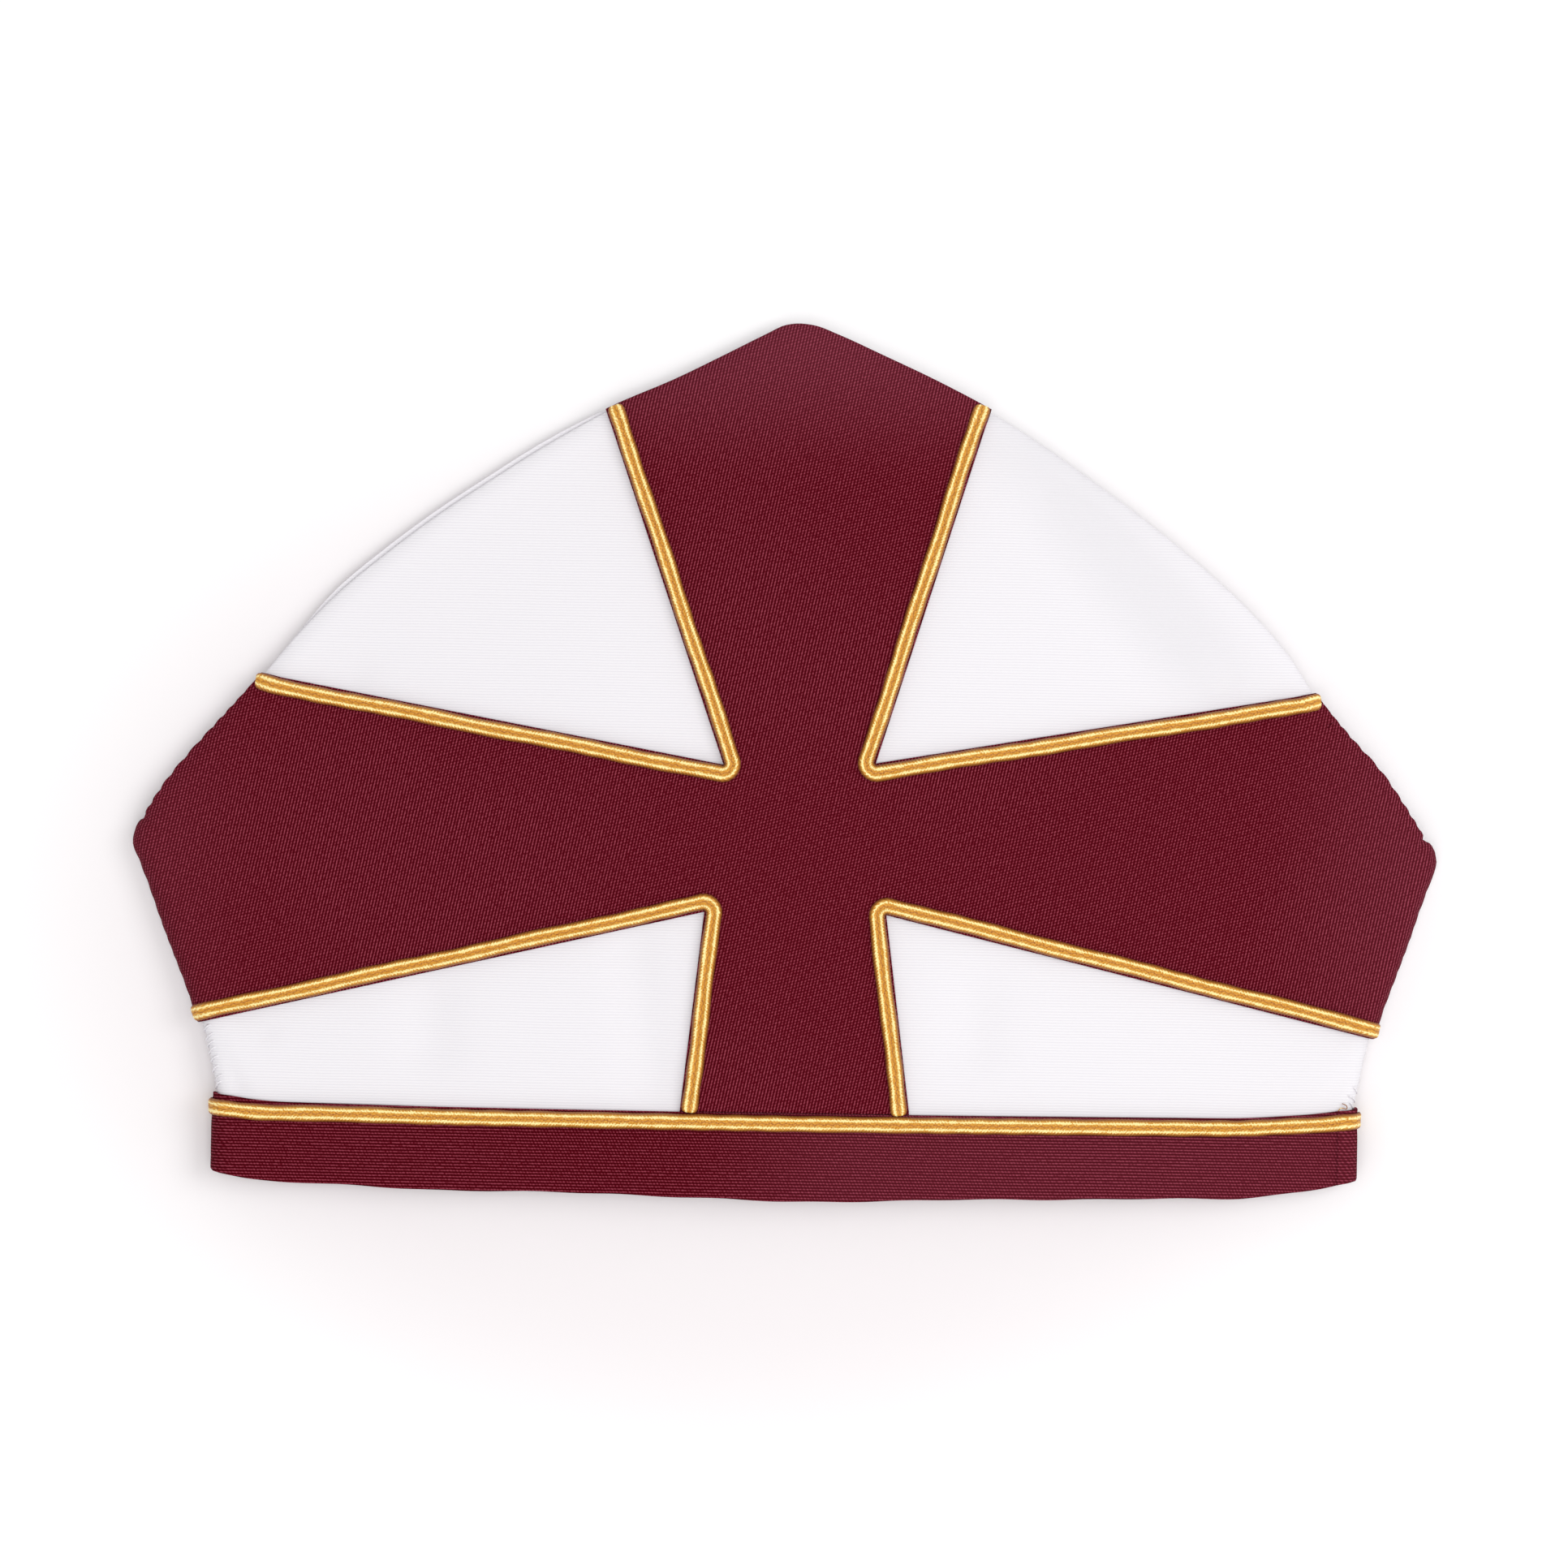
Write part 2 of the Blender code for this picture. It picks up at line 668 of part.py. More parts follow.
def braid_path(front, name):
    """Centre-line points and directions of one of the cross's braids, in developed plan."""
    line = BraidLine(name)
    opening = line.upright.angle(line.level)
    cut = BRAID_CORNER / math.tan(opening / 2)
    steps = [EDGE_LENGTH * step / BEND_STEPS for step in range(BEND_STEPS, -1, -1)]

    def run_points(direction):
        """Points of one straight run, from its outer end in to the corner's round."""
        if direction.y < 0.0 and abs(direction.y) > abs(direction.x):
            goal = band_top(line.corner.x) - CLOTH_MARGIN + GAP
            ends = [line.corner + direction * (goal - line.corner.y) / direction.y]
        else:
            ends = [front.crossing(line.corner, direction, step) for step in steps]
        inner = line.corner + direction * cut
        count = max(1, math.ceil((ends[-1] - inner).length / BRAID_STEP))
        return ends + [ends[-1].lerp(inner, step / count) for step in range(1, count + 1)]

    inward = [(point, -line.upright) for point in run_points(line.upright)]
    outward = [(point, line.level) for point in reversed(run_points(line.level))]
    middle = line.corner + (line.upright + line.level).normalized() * BRAID_CORNER / math.sin(opening / 2)
    start = inward[-1][0] - middle
    turn = start.angle_signed(outward[0][0] - middle)
    corner = []
    for step in range(1, CORNER_STEPS):
        angle = -turn * step / CORNER_STEPS
        spoke = Vector((start.x * math.cos(angle) - start.y * math.sin(angle),
                        start.x * math.sin(angle) + start.y * math.cos(angle)))
        heading = Vector((-spoke.y, spoke.x)).normalized() * math.copysign(1.0, angle)
        corner.append((middle + spoke, heading))
    return inward + corner + outward


def build_cross_braid(front, name):
    """One of the four gold braids on the cross."""
    rings = []
    for point, heading in braid_path(front, name):
        across = Vector((heading.y, -heading.x))
        ring = []
        for share, up in BRAID_SECTION:
            spot = point + across * share * BRAID_WIDTH
            ring.append(front.lay(spot, BRAID_LIFT + up * BRAID_THICKNESS)[0])
        rings.append(ring)
    build_braid("braid_" + name, rings, closed=False)


def main():
    """Clear the scene and build the mitre."""
    for item in list(bpy.data.objects):
        bpy.data.objects.remove(item, do_unlink=True)
    front = Panel(front_rows(), peak_point(), 1.0, UPPER_BEND, front_level)
    back = Panel(back_rows(), peak_point(), -1.0, math.radians(4.0), back_level)
    build_panels(front, back)
    build_gusset()
    build_cross(front)
    build_headband(front, back)
    build_headband_braid(front, back)
    for name in BRAIDS:
        build_cross_braid(front, name)


main()
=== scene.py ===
"""A bishop's mitre, folded flat: the finished model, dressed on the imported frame.

Metres, +Z up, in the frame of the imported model: the peak points to +Y and the cross faces up. Every piece
of cloth is cut flat, in developed coordinates, and then laid on one of the two faces of the crown, at its own
lift above the middle of that face's cloth.
"""

import logging
import math
from dataclasses import dataclass, field
from enum import Enum
from typing import Callable

import bmesh
import bpy
import numpy as np
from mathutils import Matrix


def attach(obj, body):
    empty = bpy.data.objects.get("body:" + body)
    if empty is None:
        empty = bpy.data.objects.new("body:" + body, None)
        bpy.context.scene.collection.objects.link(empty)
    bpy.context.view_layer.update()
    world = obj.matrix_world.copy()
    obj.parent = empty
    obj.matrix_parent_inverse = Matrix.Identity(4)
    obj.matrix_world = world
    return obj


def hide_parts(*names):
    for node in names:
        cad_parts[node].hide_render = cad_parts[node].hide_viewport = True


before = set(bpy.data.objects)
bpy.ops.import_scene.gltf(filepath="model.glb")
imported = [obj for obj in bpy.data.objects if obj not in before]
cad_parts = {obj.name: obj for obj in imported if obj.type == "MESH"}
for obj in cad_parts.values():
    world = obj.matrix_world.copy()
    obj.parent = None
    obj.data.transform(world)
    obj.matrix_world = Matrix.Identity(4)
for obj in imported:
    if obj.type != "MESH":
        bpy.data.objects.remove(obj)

LOG = logging.getLogger("mitre")
Array = np.ndarray
Colour = tuple[float, float, float]
Mesh = bmesh.types.BMesh
Material = bpy.types.Material
Piece = bpy.types.Object

# Points closer than this, in metres, are one point: of one cloth's cut, and of a seam or a rim.
CUT_WELD = 0.00008
SEAM_WELD = 1e-6

# Part of a grid square within which a point is drawn onto the line that is cut there.
SNAP = 0.45

# Distance between stations round the headband, for its cloth and for its braid.
CLOTH_STEP = 0.0016
BRAID_STEP = 0.000195

# Strands of the gold braid: their pitch along it, and how much they lean towards its edges.
STRAND_PITCH = 0.00086
STRAND_LEAN = 0.62

# Side edge of the front panel, tip to headband. Columns: share of the way down, share of the tip's reach.
SIDE_EDGE = (
    (0.005, 0.998), (0.045, 1.010), (0.10, 0.945), (0.20, 0.815), (0.33, 0.660), (0.46, 0.490), (0.60, 0.308),
    (0.74, 0.165), (0.88, 0.060),
)

# Upper edge of the front panel, tip to peak. Columns: share of the way up, left and right reach.
UPPER_EDGE = (
    (0.032, 0.985, 0.982), (0.091, 0.956, 0.952), (0.151, 0.918, 0.918), (0.219, 0.870, 0.868),
    (0.287, 0.822, 0.822), (0.377, 0.764, 0.774), (0.468, 0.696, 0.708), (0.543, 0.626, 0.641),
    (0.619, 0.548, 0.566), (0.694, 0.461, 0.484), (0.762, 0.378, 0.406), (0.830, 0.284, 0.320),
    (0.891, 0.177, 0.226), (0.943, 0.096, 0.135), (0.981, 0.038, 0.066), (0.996, 0.014, 0.034),
)

# Headband's edges. Columns: share of the half length from the middle, raise of the upper and lower edge.
BAND_EDGES = (
    (-1.00, 0.125, 0.27), (-0.965, 0.077, 0.17), (-0.90, 0.022, 0.12), (-0.60, 0.00, 0.06),
    (-0.30, 0.00, 0.06), (0.00, 0.00, 0.00), (0.38, 0.012, 0.07), (0.80, 0.03, 0.12), (0.94, 0.10, 0.25),
    (1.00, 0.18, 0.36),
)

# Soft dents of the front. Columns: start and end as (across, up), depth and width as shares.
DENTS = (
    ((0.43, 0.66), (0.65, 0.33), 1.00, 1.00),
    ((-0.23, -0.33), (-0.20, -0.66), 0.75, 0.70),
    ((-0.54, -0.48), (-0.54, -0.58), 0.70, 0.80),
    ((0.29, -0.45), (0.29, -0.56), 0.70, 0.80),
    ((-0.73, 0.33), (-0.67, 0.31), 0.50, 0.60),
)

# How strongly the slip stitches pinch the closed edge. Columns: share of the way up or down, weight.
PINCHES = (
    (-0.80, 0.10), (-0.74, 0.90), (-0.54, 0.90), (-0.50, 0.40), (0.00, 0.50), (0.03, 1.00), (0.20, 0.90),
    (0.28, 0.00),
)

# Puckers close to the side seams. Columns: start and end as (across, up), depth and width in metres.
PUCKERS = (
    ((-0.895, -0.50), (-0.830, -0.720), 0.0008, 0.0026),
    ((-0.860, -0.44), (-0.790, -0.560), 0.0005, 0.0030),
    ((0.890, -0.58), (0.830, -0.740), 0.0005, 0.0030),
)

# Half of the braid's section, middle to foot. Columns: share of the half width, share of the thickness.
PLAIT_SECTION = (
    (0.0, 0.62), (0.14, 0.65), (0.27, 0.80), (0.37, 0.94), (0.47, 1.00), (0.59, 0.97), (0.72, 0.84),
    (0.84, 0.62), (0.94, 0.34), (0.99, 0.12), (0.90, 0.0),
)

# Lights. Columns: name, place and side in metres, power in watts.
SOFTBOXES = (
    ("key_softbox", (1.05, 0.2, 1.35), 0.9, 8.6),
    ("fill_softbox", (-0.3, -1.4, 1.5), 1.4, 3.8),
    ("ceiling_softbox", (0.0, -0.3, 2.2), 1.4, 16.5),
)


class Slot(Enum):
    """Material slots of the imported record."""

    WHITE = "white_cloth"
    MAROON = "maroon_cloth"
    GOLD = "gold_braid"


class Face(Enum):
    """The two faces of the crown, with the direction that each one looks in."""

    FRONT = 1.0
    BACK = -1.0


class Corner(Enum):
    """Braids of the cross: corner, end of the upright run and end of the level run, as (across, up)."""

    UPPER_LEFT = ((-0.073, 0.119), (-0.272, 0.832), (-0.818, 0.287))
    UPPER_RIGHT = ((0.115, 0.127), (0.290, 0.845), (0.810, 0.282))
    LOWER_LEFT = ((-0.104, -0.167), (-0.138, -0.755), (-0.894, -0.508))
    LOWER_RIGHT = ((0.139, -0.167), (0.182, -0.755), (0.905, -0.496))

    def legs(self, cut: "Cut") -> tuple[Array, Array, Array, float]:
        """Corner point, directions of the upright and the level run, and the angle between them."""
        start, upright, level = (cut.place(*pair) for pair in self.value)
        upright, level = unit(upright - start), unit(level - start)
        return start, upright, level, math.acos(float(upright @ level))


@dataclass(frozen=True)
class Cut:
    """Sizes of the mitre in metres: those of its solids, then those that only the cloth has.

    Bends are in radians, and bend_share is a share of the tips' height.
    """

    head_girth: float = 0.590
    tip_span: float = 0.336
    peak_height: float = 0.2258
    tip_height: float = 0.0926
    band_height: float = 0.0227
    axis_shift: float = 0.0012
    panel_cloth: float = 0.0012
    trim_cloth: float = 0.0010
    gusset_cloth: float = 0.0010
    gap: float = 0.0003
    braid_width: float = 0.0042
    braid_thickness: float = 0.0014
    braid_corner: float = 0.0027
    cloth_margin: float = 0.0005
    fold_radius: float = 0.0028
    upper_bend: float = math.radians(35.0)
    back_bend: float = math.radians(4.0)
    loft: float = 0.0050
    gusset_air: float = 0.0009
    gusset_peek: float = 0.0010
    gusset_tuck: float = 0.0008
    hem_inset: float = 0.0015
    dent_depth: float = 0.0018
    dent_width: float = 0.0100
    foot_wave: float = 0.00022
    bend_share: float = 0.06
    pinch_depth: float = 0.00036
    pinch_pitch: float = 0.0046
    tip_notch: float = 0.0007
    tip_notch_at: float = 0.0036
    tip_notch_width: float = 0.0010

    @property
    def edge_length(self) -> float:
        """Cloth that bends round a closed edge."""
        return self.fold_radius * math.pi / 2

    @property
    def trim_lift(self) -> float:
        """Middle of the maroon cloth above the middle of the panel's cloth."""
        return self.panel_cloth / 2 + self.gap + self.trim_cloth / 2

    @property
    def braid_lift(self) -> float:
        """Underside of the braid above the middle of the panel's cloth."""
        return self.panel_cloth / 2 + 2 * self.gap + self.trim_cloth

    @property
    def foot_y(self) -> float:
        """Lower edge of the headband."""
        return -self.peak_height / 2

    @property
    def tip_y(self) -> float:
        """Level of the side tips."""
        return self.foot_y + self.tip_height

    @property
    def band_top_y(self) -> float:
        """Upper edge of the headband."""
        return self.foot_y + self.band_height

    @property
    def panel_peak(self) -> float:
        """Height of the white panel's peak above the tips."""
        step = self.gap + self.trim_cloth
        return self.peak_height - self.tip_height - step * math.sin(self.upper_bend)

    def place(self, across: float, up: float) -> Array:
        """Plan point of a pair of shares."""
        reach = self.peak_height - self.tip_height if up > 0.0 else self.tip_height
        return np.array([across * self.tip_span / 2, self.tip_y + up * reach])


def ease(value: Array | float) -> Array:
    """Smooth step from 0 to 1 while value runs from 0 to 1."""
    share = np.clip(value, 0.0, 1.0)
    return share * share * (3.0 - 2.0 * share)


def unit(vectors: Array) -> Array:
    """Vectors at length 1."""
    return vectors / np.maximum(np.linalg.norm(vectors, axis=-1, keepdims=True), 1e-12)


def sizes(vectors: Array) -> Array:
    """Lengths of vectors."""
    return np.linalg.norm(vectors, axis=-1)


def running(steps: Array) -> Array:
    """Distance from the start at each end of a row of steps."""
    return np.concatenate([[0.0], np.cumsum(steps)])


def left_of(directions: Array) -> Array:
    """Plan directions turned a quarter to the left."""
    return np.stack([-directions[..., 1], directions[..., 0]], axis=-1)


def curve_through(points: Array, step: float) -> Array:
    """Smooth curve through plan points that may be unevenly spaced, its own points at most a step apart."""
    gaps = sizes(np.diff(points, axis=0))[:, None]
    slopes = np.diff(points, axis=0) / gaps
    inner = (slopes[:-1] * gaps[1:] + slopes[1:] * gaps[:-1]) / (gaps[1:] + gaps[:-1])
    tangents = np.vstack([slopes[:1], inner, slopes[-1:]])
    made = []
    for index, gap in enumerate(gaps[:, 0]):
        share = np.arange(math.ceil(gap / step))[:, None] / math.ceil(gap / step)
        start, end = points[index], points[index + 1]
        bow = start * (1 + 2 * share) * (1 - share) ** 2 + end * share ** 2 * (3 - 2 * share)
        pull = tangents[index] * share * (1 - share) ** 2 - tangents[index + 1] * share ** 2 * (1 - share)
        made.append(bow + gap * pull)
    return np.vstack([*made, points[-1:]])


class Crown:
    """Outlines and heights that the two faces of the crown share."""

    def __init__(self, cut: Cut) -> None:
        """Work the outlines out from the cut."""
        self.cut = cut
        shares = np.linspace(-1.3, 1.3, 521)
        # The headband's edges are smoothed over this many shares to each side.
        reach = 13
        kernel = np.hanning(2 * reach + 1) / np.hanning(2 * reach + 1).sum()
        self.band_shares = shares[reach:-reach]
        places, *columns = zip(*BAND_EDGES)
        self.band_rises = [np.convolve(np.interp(shares, places, rises), kernel, "valid")
                           for rises in columns]
        self.left, self.right = self.rows()
        widths = (self.right[:, 0] - self.left[:, 0]) / 2 - cut.edge_length
        self.width_at = (self.left[:, 1], np.maximum(widths, cut.edge_length))

    def band_rise(self, x: Array, edge: int) -> Array:
        """How far the headband's upper (0) or lower (1) edge is raised."""
        share = (x - self.cut.axis_shift) / (self.cut.head_girth / 4)
        return np.interp(share, self.band_shares, self.band_rises[edge]) * self.cut.band_height

    def band_top(self, x: Array) -> Array:
        """Upper edge of the headband's cloth."""
        return self.cut.band_top_y + self.band_rise(x, 0)

    def band_foot(self, x: Array) -> Array:
        """Lower edge of the headband's cloth, a little wavy."""
        wave = np.sin(190.0 * x + 1.0) * np.sin(73.0 * x)
        return self.cut.foot_y + self.band_rise(x, 1) + self.cut.foot_wave * wave

    def rows(self) -> tuple[Array, Array]:
        """Left and right points of the front panel's visible edge, hem to peak."""
        cut = self.cut
        foot_half = cut.head_girth / 4 - cut.gap - cut.trim_cloth
        tip = cut.tip_span / 2 - cut.gap - cut.trim_cloth
        made: tuple[list, list] = ([], [])
        for sign, side in zip((-1.0, 1.0), made):
            x = cut.axis_shift + sign * foot_half
            low = float(self.band_foot(x)) + cut.hem_inset
            side += [(x, low + share * (float(self.band_top(x)) - low)) for share in (0.0, 0.5, 1.0)]
            for down, reach in reversed(SIDE_EDGE):
                out = foot_half + reach * (tip - foot_half)
                y = cut.tip_y + down * (cut.band_top_y - cut.tip_y)
                side.append((cut.axis_shift * (1.0 - reach) + sign * out, y))
            for up, *reaches in UPPER_EDGE:
                side.append((sign * reaches[int(sign > 0)] * tip, cut.tip_y + up * cut.panel_peak))
        return np.array(made[0]), np.array(made[1])

    def outline(self, face: Face) -> Array:
        """Smooth visible edge of a face, from the left hem over the peak to the right hem."""
        cut = self.cut
        left, right = self.left.copy(), self.right.copy()
        if face is Face.BACK:
            # The back shows past the front in the middle of the left upper edge and hides at the right one.
            up = (left[:, 1:] - cut.tip_y) / cut.panel_peak
            shown = ease((up - 0.36) / 0.14) * (1.0 - 0.6 * ease((up - 0.76) / 0.10))
            left += shown * cut.gusset_peek * np.array([-1.0, 0.6])
            right += ease(up / 0.25) * cut.gusset_tuck * np.array([-1.0, -0.6])
        peak = np.array([[cut.axis_shift, cut.tip_y + cut.panel_peak]])
        below = np.array([0.0, -0.25 * cut.band_height])
        line = np.vstack([left[:1] + below, left, peak, right[::-1], right[:1] + below])
        return curve_through(line, 0.0015)

    def rise(self, y: Array) -> Array:
        """How far the headband and braid behind them raise both faces."""
        start = self.cut.tip_y - self.cut.bend_share * self.cut.tip_height
        thick = 2 * self.cut.gap + self.cut.trim_cloth + self.cut.braid_thickness
        return thick * ease((start - y) / (start - self.cut.band_top_y))

    def hollows(self, table: tuple, depth: float, width: float, points: Array) -> Array:
        """Depth at plan points of a table's soft hollows, which are shares of a full depth and width."""
        total = np.zeros(len(points))
        for start, end, deep, wide in table:
            start, end = self.cut.place(*start), self.cut.place(*end)
            run = end - start
            share = np.clip((points - start) @ run / (run @ run), 0.0, 1.0)
            away = sizes(points - start - share[:, None] * run) / (wide * width)
            total += deep * depth * np.exp(-away * away)
        return total

    def level(self, face: Face, points: Array) -> Array:
        """Height of the middle of a face's cloth above the surface that the mitre lies on."""
        cut = self.cut
        back = cut.panel_cloth / 2 + self.rise(points[:, 1])
        if face is Face.BACK:
            return back
        width = np.interp(points[:, 1], *self.width_at)
        across = np.minimum(1.0, np.abs(points[:, 0] - cut.axis_shift) / width)
        up = ease((cut.tip_y + cut.panel_peak - points[:, 1]) / (0.75 * cut.panel_peak))
        foot = 1.0 - 0.35 * ease((cut.tip_y - points[:, 1]) / cut.tip_height)
        loft = cut.loft * (1.0 - across ** 2) ** 2 * up * foot
        dents = self.hollows(DENTS, cut.dent_depth, cut.dent_width, points)
        dents = np.minimum(dents * np.minimum(1.0, 3.0 - 3.0 * across ** 2), loft + 0.25 * cut.fold_radius)
        dents = dents + self.hollows(PUCKERS, 1.0, 1.0, points)
        return back + 2 * cut.fold_radius + cut.gap + loft - dents


class Panel:
    """One face of the crown as a surface: gentle inside, bent round along its closed edge."""

    def __init__(self, crown: Crown, face: Face) -> None:
        """Find the shoulder line, where the bend starts."""
        self.crown, self.cut, self.face = crown, crown.cut, face
        self.upper_bend = self.cut.upper_bend if face is Face.FRONT else self.cut.back_bend
        edge = crown.outline(face)
        heading = unit(np.gradient(edge, axis=0))
        bend = self.bend(edge[:, 1])
        inset = self.cut.edge_length * np.sin(bend) / bend + self.cut.panel_cloth / 2 * np.sin(bend)
        line = edge - left_of(heading) * inset[:, None]
        # Points that the inset has pushed past one another, in corners, are left out.
        keep = sizes(line[:, None] - edge).min(axis=1) > 0.94 * inset
        while not keep.all():
            line, heading = line[keep], heading[keep]
            runs = np.diff(line, axis=0)
            keep = np.append((runs * heading[:-1]).sum(1) > 0.0, True)
            keep[1:] &= (runs * heading[1:]).sum(1) > 0.0
        self.line = line
        self.runs = np.diff(self.line, axis=0)
        self.lengths = sizes(self.runs)
        self.starts = running(self.lengths)
        tips = [int(self.line[:, 0].argmin()), int(self.line[:, 0].argmax())]
        self.tip_at = [self.starts[tips[0]], self.starts[-1] - self.starts[tips[1]]]

    def bend(self, y: Array) -> Array:
        """Angle that the cloth turns through along its closed edge."""
        reach = self.cut.bend_share * self.cut.tip_height
        share = ease((y - self.cut.tip_y + reach) / (2 * reach))
        return self.upper_bend * share + math.pi / 2 * (1.0 - share)

    def nearest(self, points: Array) -> tuple[Array, Array, Array, Array]:
        """Closest points of the shoulder line, outward directions, distance past the line and along it."""
        parts = []
        for part in np.array_split(points, max(1, len(points) // 2000)):
            apart = part[:, None] - self.line[:-1]
            share = np.clip((apart * self.runs).sum(-1) / self.lengths ** 2, 0.0, 1.0)
            rest = apart - share[..., None] * self.runs
            pick = (np.arange(len(part)), (rest ** 2).sum(-1).argmin(1))
            outward = unit(left_of(self.runs[pick[1]]))
            away = sizes(rest[pick])
            beyond = (rest[pick] * outward).sum(1) > 0.0
            outward = np.where((beyond & (away > 1e-7))[:, None], unit(rest[pick]), outward)
            along = self.starts[pick[1]] + share[pick] * self.lengths[pick[1]]
            parts.append((part - rest[pick], outward, np.where(beyond, away, -away), along))
        return tuple(np.concatenate(column) for column in zip(*parts))

    def pinch(self, foot: Array, along: Array) -> Array:
        """Depth that the slip stitches pull the edge in by, and the notch above each tip."""
        left = foot[:, 0] < 0.0
        place = np.where(left, along, self.starts[-1] - along)
        past_tip = place - np.where(left, *self.tip_at)
        up = foot[:, 1] - self.cut.tip_y
        up = up / np.where(up > 0.0, self.cut.panel_peak, self.cut.tip_height)
        weight = np.interp(up, *zip(*PINCHES)) * np.where(left | (up > -0.5), 1.0, 0.4)
        uneven = place + 0.0012 * np.sin(190.0 * place)
        wave = (0.5 + 0.5 * np.cos(2 * math.pi * uneven / self.cut.pinch_pitch)) ** 2
        notch = np.exp(-((past_tip - self.cut.tip_notch_at) / self.cut.tip_notch_width) ** 2)
        return self.cut.pinch_depth * weight * wave + self.cut.tip_notch * notch

    def lay(self, points: Array, lift: Array | float) -> Array:
        """Positions in space of developed points that are lifted above the middle of the face's cloth."""
        foot, outward, past, along = self.nearest(points)
        inside = past <= 0.0
        start = np.where(inside[:, None], points, foot)
        curve = self.bend(foot[:, 1]) / self.cut.edge_length
        turn = np.where(inside, 0.0, past * curve)
        drawn = self.pinch(foot, along) * ease(past / self.cut.edge_length)
        reach = np.sin(turn) * (1.0 / curve + lift) - drawn
        height = self.crown.level(self.face, start)
        drop = (1.0 - np.cos(turn)) / curve - lift * np.cos(turn)
        return np.column_stack([start + outward * reach[:, None], height - self.face.value * drop])

    def own_length(self, points: Array, lift: float) -> Array:
        """Flat coordinates at the length that a lifted cloth has round the outside of the bend."""
        foot, outward, past, _ = self.nearest(points)
        longer = np.maximum(past, 0.0) * lift * self.bend(foot[:, 1]) / self.cut.edge_length
        return points + outward * longer[:, None]

    def crossing(self, start: Array, direction: Array, past: float) -> float:
        """Distance from start at which a plan line lies past the shoulder line by the given length."""
        steps = np.arange(0.0, self.cut.tip_span, 0.0002)
        beyond = self.nearest(start + steps[:, None] * direction)[2]
        index = int(np.argmax(beyond > past))
        share = (past - beyond[index - 1]) / (beyond[index] - beyond[index - 1])
        return float(steps[index - 1] + share * (steps[index] - steps[index - 1]))


def operator(operation: str, turned_round: bool = False) -> Callable:
    """Python operator of terms that adds a math node."""
    def apply(term: "Term", *others: "Term | float") -> "Term":
        """Result of the operator."""
        return term.recipe.math(operation, *((*others, term) if turned_round else (term, *others)))
    return apply


class Term:
    """A shader socket that takes part in Python expressions."""

    def __init__(self, recipe: "Recipe", socket: bpy.types.NodeSocket) -> None:
        """Wrap a socket of a recipe's node."""
        self.recipe, self.socket = recipe, socket

    __add__ = __radd__ = operator("ADD")
    __mul__ = __rmul__ = operator("MULTIPLY")
    __sub__ = operator("SUBTRACT")
    __rsub__ = operator("SUBTRACT", turned_round=True)
    __truediv__ = operator("DIVIDE")
    __abs__ = operator("ABSOLUTE")


class Recipe:
    """A procedural material under construction."""

    def __init__(self, name: str) -> None:
        """Start a material with one Principled shader."""
        self.material = bpy.data.materials.new(name)
        self.material.use_nodes = True
        self.tree = self.material.node_tree
        self.shader = self.tree.nodes["Principled BSDF"]

    def node(self, kind: str, settings: dict | None = None, sockets: dict | None = None) -> bpy.types.Node:
        """Add a node: its own settings first, then values or terms of its inputs, by name or number."""
        made = self.tree.nodes.new(kind)
        for key, value in (settings or {}).items():
            setattr(made, key, value)
        for key, value in (sockets or {}).items():
            self.feed(made.inputs[key], value)
        return made

    def feed(self, socket: bpy.types.NodeSocket, value: "Term | float | tuple") -> None:
        """Link a term to an input, or set its value."""
        if isinstance(value, Term):
            self.tree.links.new(value.socket, socket)
        elif isinstance(value, tuple) and len(socket.default_value) == 4:
            socket.default_value = (*value[:3], 1.0)
        else:
            socket.default_value = value

    def math(self, operation: str, *values: "Term | float") -> Term:
        """Math node on numbers or terms."""
        made = self.node("ShaderNodeMath", {"operation": operation}, dict(enumerate(values)))
        return Term(self, made.outputs[0])

    def vector_math(self, operation: str, *values: "Term | tuple", output: int = 0) -> Term:
        """Vector math node on terms or triples."""
        made = self.node("ShaderNodeVectorMath", {"operation": operation}, dict(enumerate(values)))
        return Term(self, made.outputs[output])

    def mix(self, share: "Term | float", low: "Term | Colour", high: "Term | Colour") -> Term:
        """Colour between low and high."""
        made = self.node("ShaderNodeMix", {"data_type": "RGBA"}, {0: share, 6: low, 7: high})
        return Term(self, made.outputs[2])

    def step(self, value: Term, low: float, high: float) -> Term:
        """Smooth step from 0 to 1 while value runs from low to high."""
        settings = {"interpolation_type": "SMOOTHSTEP"}
        made = self.node("ShaderNodeMapRange", settings, {"Value": value, "From Min": low, "From Max": high})
        return Term(self, made.outputs[0])

    def cloth_point(self) -> tuple[Term, Term, Term]:
        """The piece's flat coordinates in metres: the pair as a vector, and each of the two."""
        vector = self.node("ShaderNodeUVMap", {"uv_map": "Weave"}).outputs[0]
        parts = self.node("ShaderNodeSeparateXYZ", None, {0: Term(self, vector)})
        return Term(self, vector), Term(self, parts.outputs[0]), Term(self, parts.outputs[1])

    def noise(self, vector: Term, scale: float, detail: float = 2.0) -> Term:
        """Soft noise from 0 to 1, with scale in waves per metre."""
        sockets = {"Vector": vector, "Scale": scale, "Detail": detail}
        return Term(self, self.node("ShaderNodeTexNoise", None, sockets).outputs[0])

    def wave(self, phase: Term) -> Term:
        """Wave from 0 to 1, one to each unit of phase."""
        return self.math("COSINE", phase * (2 * math.pi)) * 0.5 + 0.5

    def finish(self, sockets: dict, height: Term, depth: float) -> Material:
        """Feed the shader, with a relief from 0 to 1 of a depth in metres."""
        bump = self.node("ShaderNodeBump", None, {"Height": height, "Distance": depth, "Strength": 1.0})
        for key, value in {**sockets, "Normal": Term(self, bump.outputs[0])}.items():
            self.feed(self.shader.inputs[key], value)
        return self.material


